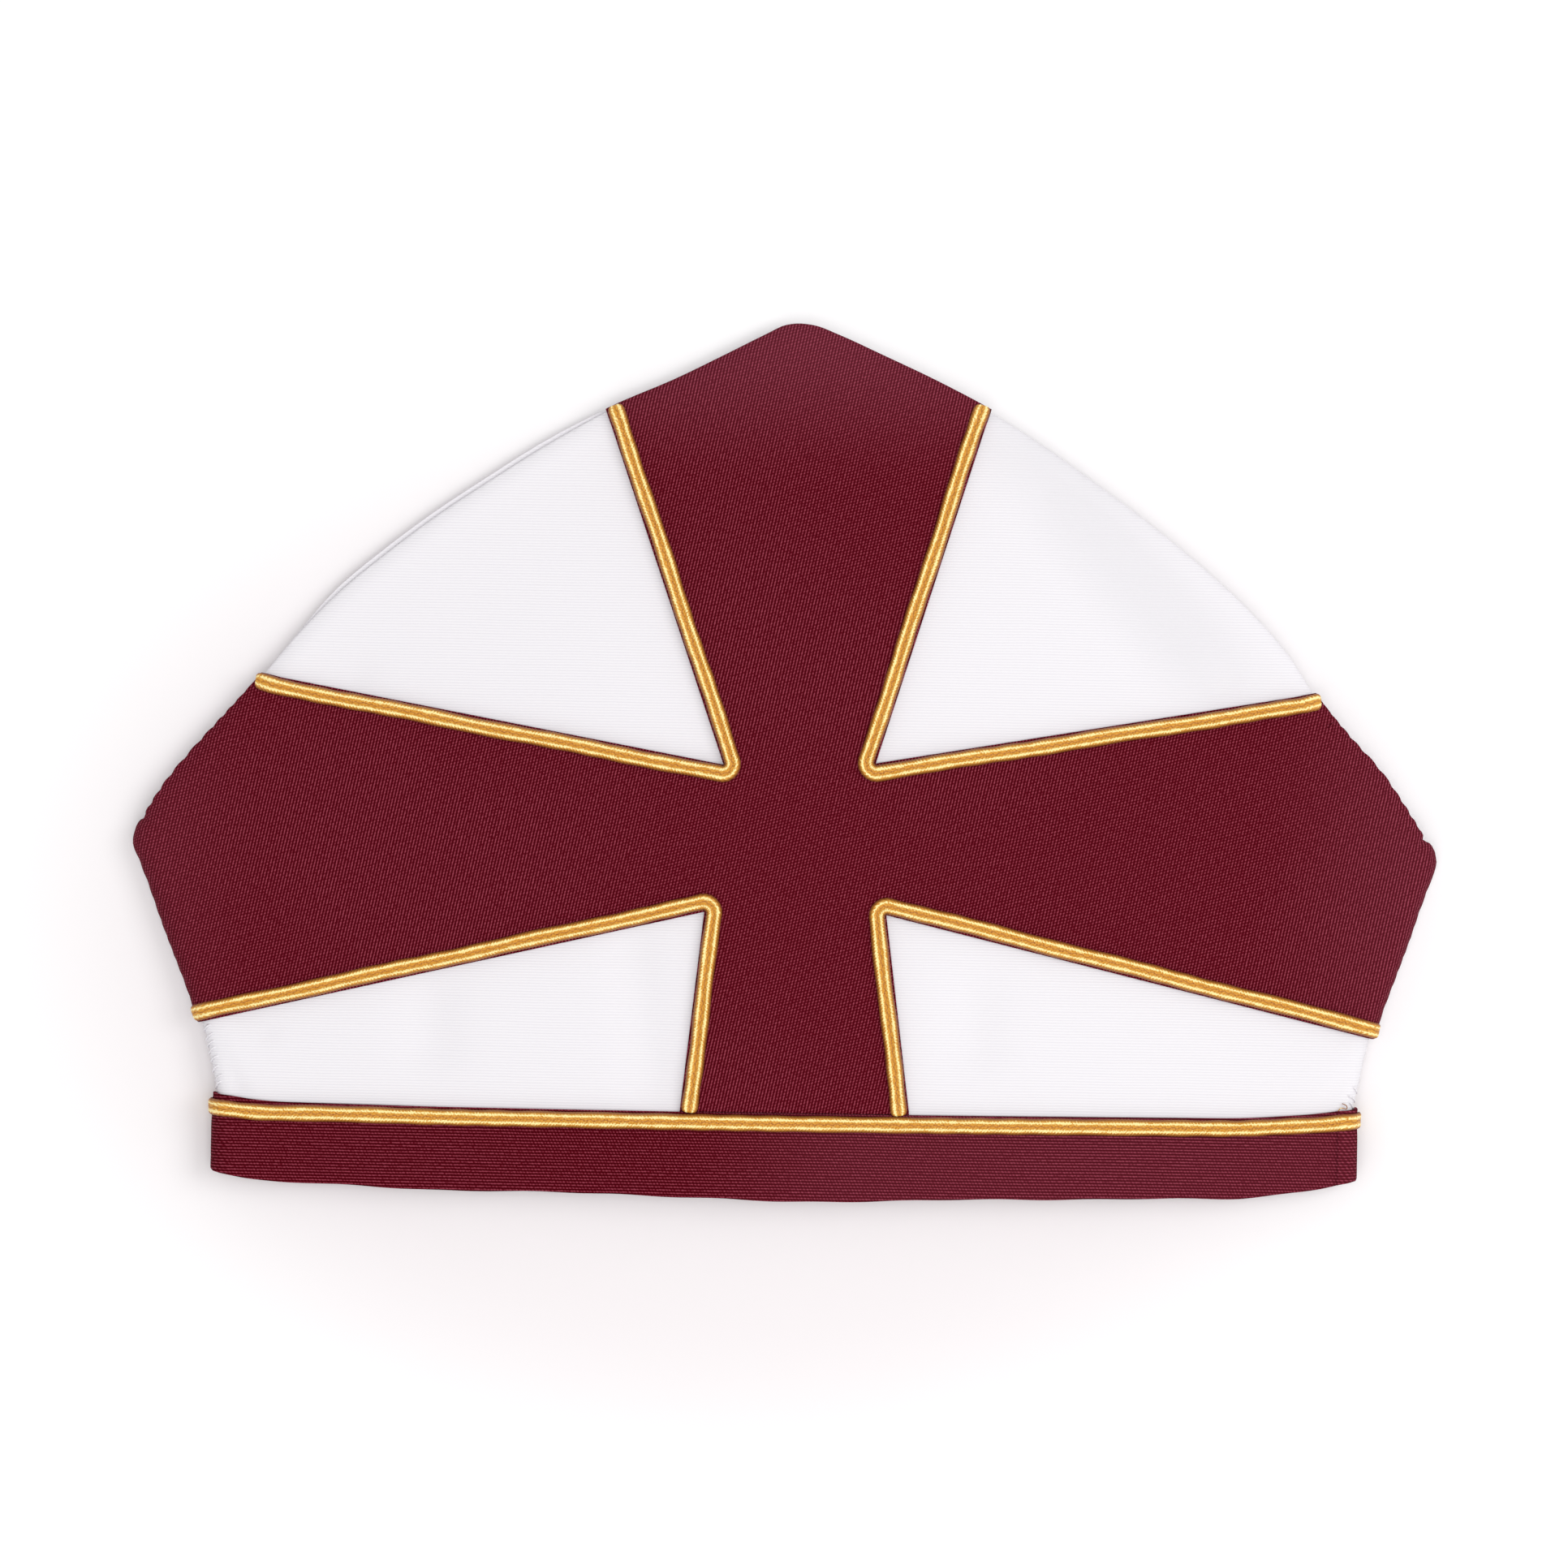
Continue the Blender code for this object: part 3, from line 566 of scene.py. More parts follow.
@dataclass(frozen=True)
class Ribs:
    """A set of even ribs: their pitch in metres and the direction across them in degrees."""

    pitch: float
    angle: float

    def phase(self, x: Term, y: Term) -> Term:
        """Number of ribs passed at a flat point."""
        turn = math.radians(self.angle)
        return x * (math.cos(turn) / self.pitch) + y * (math.sin(turn) / self.pitch)


@dataclass(frozen=True)
class WhiteFaille:
    """White cloth with fine level ribs and a soft low sheen, with painted shade in the grooves between the
    ribs and in the long dent.
    """

    name: str = "white_faille"
    # Colours of the ribs' tops, of the painted shade in the grooves between them, and of the painted shade in
    # the long dent.
    rib: Colour = (0.826, 0.811, 0.836)
    rib_groove_shade: Colour = (0.738, 0.718, 0.755)
    painted_dent_shade: Colour = (0.735, 0.722, 0.748)
    ribs: Ribs = Ribs(0.00071, 90.0)
    wide: Ribs = Ribs(0.00129, 90.0)
    dent_across: tuple[float, float] = (0.764, 0.645)
    dent_at: float = 0.0991

    def material(self) -> Material:
        """Make the material."""
        recipe = Recipe(self.name)
        point, x, y = recipe.cloth_point()
        drift = recipe.noise(point, 45.0) * 0.6
        fine = recipe.wave(self.ribs.phase(x, y) + drift)
        wide = recipe.wave(self.wide.phase(x, y) + drift)
        slub = recipe.noise(point, 900.0, 1.0)
        height = fine * 0.80 + wide * 0.07 + slub * 0.13
        # Painted shade: darker where the relief is low, in the grooves between the ribs.
        rib_top_share = recipe.step(height, -0.15, 0.70)
        # Painted shade: the long dent at the upper right is painted a little greyer than the cloth around it,
        # as its hollow would be in shade.
        side, rise = self.dent_across
        across = abs(x * side + y * rise - self.dent_at)
        run = x * rise - y * side
        dent_shade_share = (1.0 - recipe.step(across, 0.001, 0.018)) * recipe.step(run, -0.050, -0.015)
        dent_shade_share = dent_shade_share * (1.0 - recipe.step(run, 0.040, 0.070))
        return recipe.finish({
            "Base Color": recipe.mix(dent_shade_share * 0.7, recipe.mix(rib_top_share, self.rib_groove_shade, self.rib), self.painted_dent_shade),
            "Roughness": 0.72 - 0.10 * fine,
            "Specular IOR Level": 0.25,
            "Sheen Weight": 0.06,
            "Sheen Roughness": 0.45,
        }, height, 0.00005)


@dataclass(frozen=True)
class MaroonPoplin:
    """Maroon ribbed cloth whose two crossing ribs carry small pinkish painted highlights, with painted shade
    in the grooves between the threads and a painted sheen towards the tips and the peak.
    """

    name: str
    ribs: Ribs
    picks: Ribs
    # Colours: painted shade in the grooves, the threads' own maroon, the painted highlight on the threads'
    # crests, and the painted sheen towards the tips and the peak.
    weave_groove_shade: Colour = (0.060, 0.0006, 0.0036)
    middle: Colour = (0.100, 0.0020, 0.0085)
    light: Colour = (0.276, 0.0450, 0.0710)
    painted_sheen: Colour = (0.300, 0.0800, 0.1250)

    def material(self) -> Material:
        """Make the material."""
        recipe = Recipe(self.name)
        point, x, y = recipe.cloth_point()
        drift = recipe.noise(point, 26.0, 1.0)
        rib = recipe.wave(self.ribs.phase(x, y) + drift * 0.5)
        pick = recipe.wave(self.picks.phase(x, y) + drift * 1.5)
        dotted = recipe.step(recipe.noise(point, 14.0, 0.0), 0.35, 0.62) * 0.18 + 0.21
        height = rib * (1.0 - dotted) + pick * dotted
        fibre = recipe.noise(point, 1500.0)
        # Painted shade: darker where the relief is low, in the grooves between the threads.
        thread_top_share = recipe.step(height, 0.05, 0.62)
        # Painted highlight: pinkish light on the threads' crests, broken up by fine noise.
        painted_thread_highlight = recipe.step(height + (fibre - 0.5) * 1.1, 0.54, 1.00)
        body = recipe.mix(thread_top_share, self.weave_groove_shade, self.middle)
        body = recipe.mix(painted_thread_highlight, body, self.light)
        # Painted sheen: a lighter pinkish colour towards the tips and the peak, stronger on the ribs, where
        # the cloth rolls away.
        outer = recipe.step(abs(x + 0.006), 0.125, 0.175) * 0.10 + recipe.step(y, 0.070, 0.112) * 0.18
        return recipe.finish({
            "Base Color": recipe.mix(outer * (0.5 + rib), body, self.painted_sheen),
            "Roughness": 0.80 - 0.18 * painted_thread_highlight,
            "Specular IOR Level": 0.03,
            "Sheen Weight": 0.02,
            "Sheen Roughness": 0.35,
            "Sheen Tint": (1.0, 0.72, 0.78),
        }, height, 0.00012)


@dataclass(frozen=True)
class GoldPlait:
    """Satin gold threads plaited over two cords: painted pale highlights along the crests, orange between
    them, painted shade on the tan flanks.
    """

    name: str = "gold_plait"
    # Colours: painted shade on the flanks, the thread's own gold, the stitches, and the painted highlight on
    # the crests.
    flank_shade: Colour = (0.310, 0.110, 0.016)
    body: Colour = (0.680, 0.310, 0.026)
    stitch: Colour = (0.300, 0.090, 0.008)
    crest_highlight: Colour = (1.000, 0.840, 0.360)
    crest_at: float = 0.00098
    crest_half: float = 0.00050

    def material(self) -> Material:
        """Make the material."""
        recipe = Recipe(self.name)
        point, along, across = recipe.cloth_point()
        out = abs(across)
        strand = recipe.wave(along / STRAND_PITCH + out * (STRAND_LEAN / STRAND_PITCH))
        fibre = recipe.noise(point, 2900.0)
        patch_noise = recipe.noise(point, 520.0)
        zigzag = abs(across - (recipe.wave(along / 0.0021 + patch_noise * 1.2) - 0.5) * 0.00036)
        sewn = 1.0 - recipe.step(zigzag + (fibre - 0.5) * 0.0005, 0.00004, 0.00030)
        # Painted shade: the cords' outer flanks, which turn down away from the light, are tan.
        body = recipe.mix(recipe.step(out, 0.00130, 0.00185), self.body, self.flank_shade)
        body = recipe.mix(sewn * 0.60 + recipe.step(0.5 - fibre, 0.02, 0.16) * 0.35, body, self.stitch)
        # Painted highlight: pale colour along each cord's crest, broken up by the strands and by noise.
        crest_highlight = 1.0 - abs(out - self.crest_at) / self.crest_half
        painted_sheen = crest_highlight + (strand - 0.5) * 0.34 + (fibre - 0.5) * 2.2 + (patch_noise - 0.5) * 1.3
        painted_shine = recipe.step(painted_sheen, 0.10, 0.85)
        return recipe.finish({
            "Base Color": recipe.mix(painted_shine, body, self.crest_highlight),
            "Roughness": 0.50 - 0.16 * painted_shine,
            "Specular IOR Level": 0.45,
        }, strand * 0.55 + fibre * 0.45, 0.00012)


@dataclass(frozen=True)
class PaleFloor:
    """Plain white paper, with painted soft shade that makes it a touch greyer round the mitre."""

    name: str = "pale_paper"
    near: Colour = (0.842, 0.808, 0.816)
    far: Colour = (0.960, 0.960, 0.960)
    middle: tuple[float, float, float] = (-0.010, -0.045, 0.0)
    spread: tuple[float, float, float] = (0.190, 0.140, 1.0)

    def material(self) -> Material:
        """Make the material."""
        recipe = Recipe(self.name)
        place = Term(recipe, recipe.node("ShaderNodeTexCoord").outputs["Object"])
        moved = recipe.vector_math("SUBTRACT", place, self.middle)
        scaled = recipe.vector_math("DIVIDE", moved, self.spread)
        # Painted shade: the paper's colour greys from far to near over this ellipse round the mitre.
        share = recipe.step(recipe.vector_math("LENGTH", scaled, output=1), 0.68, 1.22)
        return recipe.finish({
            "Base Color": recipe.mix(share, self.near, self.far),
            "Roughness": 0.9,
            "Specular IOR Level": 0.1,
        }, recipe.noise(place, 900.0), 0.00001)


def points_of(mesh: Mesh) -> Array:
    """Plan coordinates of a mesh's points."""
    return np.array([vert.co.xy for vert in mesh.verts])


def move_flat(mesh: Mesh, spots: Array) -> None:
    """Move a mesh's points to plan coordinates."""
    for vert, spot in zip(mesh.verts, spots):
        vert.co.xy = spot


def crowded(shares: Array, pull: float) -> Array:
    """Shares from 0 to 1, drawn towards both ends."""
    return shares - pull * np.sin(2 * math.pi * shares) / (2 * math.pi)


def even_grid(columns: int, rows: int) -> Mesh:
    """Flat grid from 0 to 1 both ways."""
    mesh = bmesh.new()
    bmesh.ops.create_grid(mesh, x_segments=columns, y_segments=rows, size=0.5)
    spots = points_of(mesh)
    low, high = spots.min(0), spots.max(0)
    move_flat(mesh, (spots - low) / (high - low))
    return mesh


def rounded(distance: Array, radius: float) -> Array:
    """Share of the full thickness at a distance from a rounded edge."""
    return np.sqrt(np.maximum(0.0, 1.0 - (1.0 - np.clip(distance / radius, 0.0, 1.0)) ** 2))


def write_weave(mesh: Mesh, spots: Array) -> None:
    """Keep flat coordinates as the piece's UV map, for its weave."""
    layer = mesh.loops.layers.uv.new("Weave")
    mesh.verts.index_update()
    for face in mesh.faces:
        for loop in face.loops:
            loop[layer].uv = spots[loop.vert.index]


def thicken(mesh: Mesh, place: Callable[[Array, Array], Array], half: Array,
            weave: Array | None = None) -> None:
    """Give a flat cut a top and an underside, both laid in place, and join them where half is 0."""
    flat = points_of(mesh)
    write_weave(mesh, flat if weave is None else weave)
    top = list(mesh.verts)
    copy = bmesh.ops.duplicate(mesh, geom=mesh.verts[:] + mesh.edges[:] + mesh.faces[:])
    under = [copy["vert_map"][vert] for vert in top]
    faces = [item for item in copy["geom"] if isinstance(item, bmesh.types.BMFace)]
    bmesh.ops.reverse_faces(mesh, faces=faces)
    for verts, spots in ((top, place(flat, half)), (under, place(flat, -half))):
        for vert, spot in zip(verts, spots):
            vert.co = spot
    rim = [vert for pair, thick in zip(zip(top, under), half) if thick == 0.0 for vert in pair]
    bmesh.ops.remove_doubles(mesh, verts=rim, dist=SEAM_WELD)


def wrapped(spots: Array, weave: Array, closed_rows: bool, closed_columns: bool) -> Mesh:
    """Grid of faces through rows and columns of positions, closed where it meets itself, its ends filled."""
    rows, columns = spots.shape[0] - 1, spots.shape[1] - 1
    mesh = even_grid(columns, rows)
    places = np.rint(points_of(mesh) * [columns, rows]).astype(int)
    write_weave(mesh, weave[places[:, 1], places[:, 0]])
    for vert, spot in zip(mesh.verts, spots[places[:, 1], places[:, 0]]):
        vert.co = spot
    seam = [vert for vert, (column, row) in zip(mesh.verts, places)
            if (closed_columns and column in (0, columns)) or (closed_rows and row in (0, rows))]
    bmesh.ops.remove_doubles(mesh, verts=seam, dist=SEAM_WELD)
    bmesh.ops.holes_fill(mesh, edges=[edge for edge in mesh.edges if edge.is_boundary], sides=0)
    return mesh


def linked(name: str, data: bpy.types.ID) -> Piece:
    """New object in the scene."""
    made = bpy.data.objects.new(name, data)
    bpy.context.scene.collection.objects.link(made)
    return made


def meshed(name: str, mesh: Mesh, finish: Material) -> Piece:
    """New object in the scene, made from a mesh, which is freed."""
    data = bpy.data.meshes.new(name)
    mesh.to_mesh(data)
    mesh.free()
    data.materials.append(finish)
    return linked(name, data)


def add_piece(name: str, mesh: Mesh, finish: Material, slot: Slot,
              stands_for: str | None = None) -> Piece:
    """Turn a finished mesh, which is freed, into a piece of the mitre that may stand for a CAD node."""
    bmesh.ops.recalc_face_normals(mesh, faces=mesh.faces)
    piece = meshed(name, mesh, finish)
    piece.data.shade_smooth()
    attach(piece, "root")
    if stands_for:
        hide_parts(stands_for)
    return piece


def cut_along_rim(panel: Panel, step: float, hem: Callable[[Array], Array]) -> Mesh:
    """Flat cloth cut along a face's rim and along a hem, which gives its lowest y at each x."""
    rim = panel.cut.edge_length
    low = panel.line.min(0) - rim
    high = panel.line.max(0) + rim
    mesh = even_grid(*(int(count) for count in np.ceil((high - low) / step)))
    flat = low + points_of(mesh) * (high - low)
    foot, outward, past, _ = panel.nearest(flat)
    beyond = past >= rim - SNAP * step
    below = flat[:, 1] <= hem(flat[:, 0]) + SNAP * step
    outside = beyond | below
    mesh.verts.index_update()
    away = [face for face in mesh.faces if all(outside[vert.index] for vert in face.verts)]
    flat = np.where(beyond[:, None], foot + outward * rim, flat)
    lowest = hem(flat[:, 0])
    flat[:, 1] = np.where(below | (flat[:, 1] < lowest), lowest, flat[:, 1])
    move_flat(mesh, flat)
    bmesh.ops.delete(mesh, geom=away, context="FACES")
    bmesh.ops.remove_doubles(mesh, verts=mesh.verts, dist=CUT_WELD)
    return mesh


def turn_edges(mesh: Mesh, radius: float) -> Array:
    """Add two rings of faces inside a flat cloth's edge and give each point's share of full thickness."""
    cloth = mesh.faces[:]
    for width in (0.25 * radius, 0.5 * radius):
        bmesh.ops.inset_region(mesh, faces=cloth, thickness=width, use_boundary=True, use_even_offset=True)
    # The inner ring lies a quarter of the radius in, where a round edge has 0.66 of its full thickness.
    rim = {vert for vert in mesh.verts if vert.is_boundary}
    ring = {edge.other_vert(vert) for vert in rim for edge in vert.link_edges} - rim
    return np.array([0.0 if vert in rim else 0.66 if vert in ring else 1.0 for vert in mesh.verts])


@dataclass
class Shields:
    """The two white panels of the crown."""

    front: Panel
    back: Panel
    finish: Material
    step: float = 0.0014
    back_step: float = 0.0022

    def shield(self, panel: Panel, step: float) -> Mesh:
        """Cut and lay one panel."""
        cut = panel.cut
        mesh = cut_along_rim(panel, step, lambda x: panel.crown.band_foot(x) + cut.hem_inset)
        half = cut.panel_cloth / 2 * turn_edges(mesh, cut.panel_cloth / 2)
        thicken(mesh, panel.lay, half)
        return mesh

    def build(self) -> list[Piece]:
        """Make both panels."""
        made = []
        for side, panel, step in (("front", self.front, self.step), ("back", self.back, self.back_step)):
            mesh = self.shield(panel, step)
            made.append(add_piece(side + "_shield", mesh, self.finish, Slot.WHITE, side + "_panel"))
        return made


@dataclass
class Gusset:
    """White cloth folded in between the open upper edges."""

    back: Panel
    finish: Material
    columns: int = 90
    rows: int = 80
    crowding: float = 0.96
    fold_rise: float = 0.08
    top_inset: float = 0.0003
    weld: float = 1e-5

    def __post_init__(self) -> None:
        """Find the fold and the two side edges."""
        cut = self.back.cut
        edge = self.back.crown.outline(Face.BACK)
        peak = int(edge[:, 1].argmax())
        self.left, self.right = edge[:peak + 1], edge[:peak - 1:-1]
        self.radius = (cut.gusset_cloth + cut.gusset_air) / 2
        self.fold = cut.tip_y + self.fold_rise * cut.tip_height
        self.leg = edge[peak, 1] - self.top_inset - self.fold - self.radius

    def place(self, flat: Array, lift: Array) -> Array:
        """Positions of points given by share of the way across and distance from the front leg's top edge."""
        cut = self.back.cut
        turn = np.clip((flat[:, 1] - self.leg) / self.radius, 0.0, math.pi)
        past_fold = flat[:, 1] - self.leg - math.pi * self.radius
        straight = np.where(turn < math.pi, self.leg - flat[:, 1], past_fold)
        level = self.fold + self.radius + np.maximum(straight, 0.0)
        y = level - (self.radius + lift) * np.sin(turn)
        low_leg = cut.panel_cloth + cut.gap + cut.gusset_cloth / 2
        z = low_leg + self.radius + (self.radius + lift) * np.cos(turn)
        x_left = np.interp(level, self.left[:, 1], self.left[:, 0])
        x_right = np.interp(level, self.right[:, 1], self.right[:, 0])
        return np.column_stack([x_left + (x_right - x_left) * flat[:, 0], y, z])

    def build(self) -> Piece:
        """Make the folded cloth."""
        mesh = even_grid(self.columns, self.rows)
        shares = points_of(mesh)
        total = 2 * self.leg + math.pi * self.radius
        move_flat(mesh, np.column_stack([crowded(shares[:, 0], self.crowding), shares[:, 1] * total]))
        rim = np.array([vert.is_boundary for vert in mesh.verts])
        thicken(mesh, self.place, np.where(rim, 0.0, self.back.cut.gusset_cloth / 2))
        bmesh.ops.remove_doubles(mesh, verts=mesh.verts, dist=self.weld)
        return add_piece("folded_gusset", mesh, self.finish, Slot.WHITE, "crown_gusset")


@dataclass
class Cross:
    """Cross pattée of maroon cloth with turned-in edges."""

    front: Panel
    finish: Material
    step: float = 0.0013
    margin_share: float = 0.8
    hem_overlap: float = 0.00002

    def notches(self) -> list[tuple[Array, list[tuple[Array, Array]]]]:
        """The four notches between the arms: corner, and each edge's run and its direction into the notch."""
        cut = self.front.cut
        found = []
        for corner in Corner:
            start, upright, level, opening = corner.legs(cut)
            margin = cut.braid_width / 2 + self.margin_share * cut.cloth_margin
            edges = [(run, left_of(run) * math.copysign(1.0, float(left_of(run) @ other)))
                     for run, other in ((upright, level), (level, upright))]
            found.append((start + (upright + level) * margin / math.sin(opening), edges))
        return found

    def snip(self, mesh: Mesh, corner: Array, run: Array, into: Array) -> None:
        """Cut the flat cloth along the edge of a notch that runs from its corner, across into the notch."""
        apart = points_of(mesh) - corner
        across = apart @ into
        near = (np.abs(across) < SNAP * self.step) & (apart @ run > 0.0)
        for vert, beside, close in zip(mesh.verts[:], across, near):
            if close and not vert.is_boundary:
                vert.co.xy = np.array(vert.co.xy) - into * beside
        mesh.verts.index_update()
        reach = apart @ run > -2.0 * self.step
        faces = [face for face in mesh.faces if reach[face.verts[0].index] and
                 np.ptp(np.sign(across[[vert.index for vert in face.verts]])) > 0]
        edges = list({edge for face in faces for edge in face.edges})
        verts = list({vert for face in faces for vert in face.verts})
        bmesh.ops.bisect_plane(mesh, geom=faces + edges + verts, dist=SEAM_WELD, plane_co=(*corner, 0.0),
                               plane_no=(*into, 0.0))

    def build(self) -> Piece:
        """Cut the cross out and lay it on the front panel."""
        cut, crown = self.front.cut, self.front.crown
        mesh = cut_along_rim(self.front, self.step, lambda x: crown.band_top(x) + self.hem_overlap)
        notches = self.notches()
        for corner, edges in notches:
            nearest = min(mesh.verts, key=lambda vert: float(np.linalg.norm(np.array(vert.co.xy) - corner)))
            nearest.co.xy = corner
            for run, into in edges:
                self.snip(mesh, corner, run, into)
        middles = np.array([face.calc_center_median().xy for face in mesh.faces])
        inside = np.any([np.min([(middles - corner) @ into for _, into in edges], axis=0) > 0.0
                         for corner, edges in notches], axis=0)
        gone = [face for face, out in zip(mesh.faces, inside) if out]
        bmesh.ops.delete(mesh, geom=gone, context="FACES")
        bmesh.ops.remove_doubles(mesh, verts=mesh.verts, dist=CUT_WELD)
        half = cut.trim_cloth / 2 * turn_edges(mesh, cut.trim_cloth / 2)
        weave = self.front.own_length(points_of(mesh), cut.trim_lift)
        thicken(mesh, lambda spots, lift: self.front.lay(spots, cut.trim_lift + lift), half, weave)
        return add_piece("maroon_cross", mesh, self.finish, Slot.MAROON, "front_cross")


class BandLine:
    """Stations round the folded headband, over the front and back on the panel behind it."""

    def __init__(self, front: Panel, back: Panel, step: float, seam_inset: float = 0.0036,
                 seam_step: float = 0.00015) -> None:
        """Walk round both faces in steps, with a seam at an inset from the right edge of the front."""
        cut = front.cut
        middle = np.array([cut.axis_shift, (cut.foot_y + cut.band_top_y) / 2])
        self.panels = (front, back)
        places, owners = [], []
        for owner, (panel, sign) in enumerate(((front, 1.0), (back, -1.0))):
            reach = [panel.crossing(middle, np.array([way, 0.0]), 0.0) + cut.edge_length
                     for way in (-sign, sign)]
            start, end = middle[0] - sign * reach[0], middle[0] + sign * reach[1]
            stations = np.linspace(start, end, math.ceil(abs(end - start) / step) + 1)
            if panel is front:
                self.seam = middle[0] + reach[1] - cut.edge_length + cut.fold_radius - seam_inset
                stations = np.sort(np.append(stations, self.seam + np.array([-seam_step, 0.0, seam_step])))
            places.append(stations)
            owners.append(np.full(len(stations), owner))
        places.append(places[0][:1])
        owners.append(owners[0][:1])
        self.x = np.concatenate(places)
        self.owner = np.concatenate(owners)
        steps = np.abs(np.diff(self.x))
        steps[np.diff(self.owner) != 0] = cut.gap
        self.along = running(steps)

    def lay(self, stations: Array, y: Array, lift: Array) -> Array:
        """Positions at station numbers, a developed y and a lift."""
        flat = np.column_stack([self.x[stations], y])
        made = np.empty((len(flat), 3))
        for owner, panel in enumerate(self.panels):
            mine = self.owner[stations] == owner
            made[mine] = panel.lay(flat[mine], lift[mine])
        return made


@dataclass
class Headband:
    """Maroon cloth loop round the head opening, with a lapped seam near its right end."""

    line: BandLine
    finish: Material
    rows: int = 30
    crowding: float = 0.85
    turned_edge: float = 0.0005
    lap: float = 0.00050
    lap_end: float = 0.003

    def build(self) -> Piece:
        """Make the loop."""
        line = self.line
        crown, cut = line.panels[0].crown, line.panels[0].cut
        count = len(line.x)
        shares = crowded(np.linspace(0.0, 1.0, self.rows + 1), self.crowding)
        column, row = (part.ravel() for part in np.meshgrid(np.arange(count), np.arange(self.rows + 1)))
        low, high = crown.band_foot(line.x), crown.band_top(line.x)
        y = low[column] + (high - low)[column] * shares[row]
        lapped = self.lap * (line.x[column] >= line.seam - SEAM_WELD) * (line.owner[column] == 0)
        lapped = lapped * ease((line.x.max() - line.x[column]) / self.lap_end)
        edge = np.minimum(shares[row], 1.0 - shares[row]) * cut.band_height
        half = cut.trim_cloth / 2 * rounded(edge, self.turned_edge)
        sides = [line.lay(column, y, cut.trim_lift + lapped + sign * half) for sign in (1.0, -1.0)]
        shape = (self.rows + 1, count, 3)
        top, under = (side.reshape(shape) for side in sides)
        weave = np.column_stack([line.along[column], y]).reshape(self.rows + 1, count, 2)
        spots = np.concatenate([top, under[-2::-1]])
        mesh = wrapped(spots, np.concatenate([weave, weave[-2::-1]]), True, True)
        return add_piece("headband_cloth", mesh, self.finish, Slot.MAROON, "headband")


@dataclass
class Braid:
    """Gold braid of two plaited cords, laid along a line."""

    cut: Cut
    finish: Material
    relief: float = 0.00006
    uneven: float = 0.00006
    sway: float = 0.035
    groove_half: float = 0.24
    groove_fill: float = 0.98

    def section(self) -> Array:
        """Closed section as (across, up): over one cord, the shallow groove and the other cord, and back."""
        half = np.array(PLAIT_SECTION) * [self.cut.braid_width / 2, self.cut.braid_thickness]
        other = half[::-1] * [-1.0, 1.0]
        return np.vstack([other, half[1:], other[:1]])

    def rings(self, along: Array) -> tuple[Array, Array, Array]:
        """Across, up and weave coordinates of the section at distances along a line, with its strands."""
        section = self.section()
        across = np.tile(section[:, 0], (len(along), 1))
        up = np.tile(section[:, 1], (len(along), 1))
        phase = along[:, None] / STRAND_PITCH + np.abs(across) * STRAND_LEAN / STRAND_PITCH
        raised = up > SEAM_WELD
        grow = self.relief * np.cos(2 * math.pi * phase) * raised
        loose = self.uneven * np.sin(along * 900.0)[:, None] * np.sin(along * 370.0)[:, None]
        weave = np.stack([np.broadcast_to(along[:, None], across.shape), across], axis=-1)
        out = across * (1.0 + self.sway * np.sin(along * 520.0 + 2.0 * np.sin(along * 95.0))[:, None])
        return out + np.sign(across) * 0.6 * grow, up + grow + loose * raised, weave

    def fill_groove(self, across: Array, up: Array, share: Array) -> Array:
        """Section heights with a share of the groove between the cords filled up."""
        filled = share * (np.abs(across) < self.groove_half * self.cut.braid_width)
        return up + filled * np.maximum(0.0, self.groove_fill * self.cut.braid_thickness - up)


@dataclass
class BandBraid(Braid):
    """Braid along the headband's upper edge, all the way round."""

    line: BandLine | None = None
    turn_start: float = 0.0010
    turn_run: float = 0.0030
    pressed: float = 0.5
    droop: float = 0.0009

    def build(self) -> Piece:
        """Make the closed braid."""
        line = self.line
        crown = line.panels[0].crown
        across, up, weave = self.rings(line.along)
        from_left, from_right = line.x - line.x.min(), line.x.max() - line.x
        turned = 1.0 - ease((np.minimum(from_left, from_right) - self.turn_start) / self.turn_run)[:, None]
        up = self.fill_groove(across, up, turned) * (1.0 - self.pressed * turned)
        middle = crown.band_top(line.x) - self.cut.cloth_margin - self.cut.braid_width / 2
        ends = np.exp(-(from_left / 0.016) ** 2) + 0.6 * np.exp(-(from_right / 0.012) ** 2)
        middle = middle - self.droop * ends
        stations = np.repeat(np.arange(len(line.x)), across.shape[1])
        y = (middle[:, None] + across).ravel()
        spots = line.lay(stations, y, (self.cut.braid_lift + up).ravel()).reshape(*across.shape, 3)
        spots[..., 2] = np.maximum(spots[..., 2], 0.0)
        mesh = wrapped(spots, weave, True, True)
        return add_piece("headband_plait", mesh, self.finish, Slot.GOLD, "headband_braid")


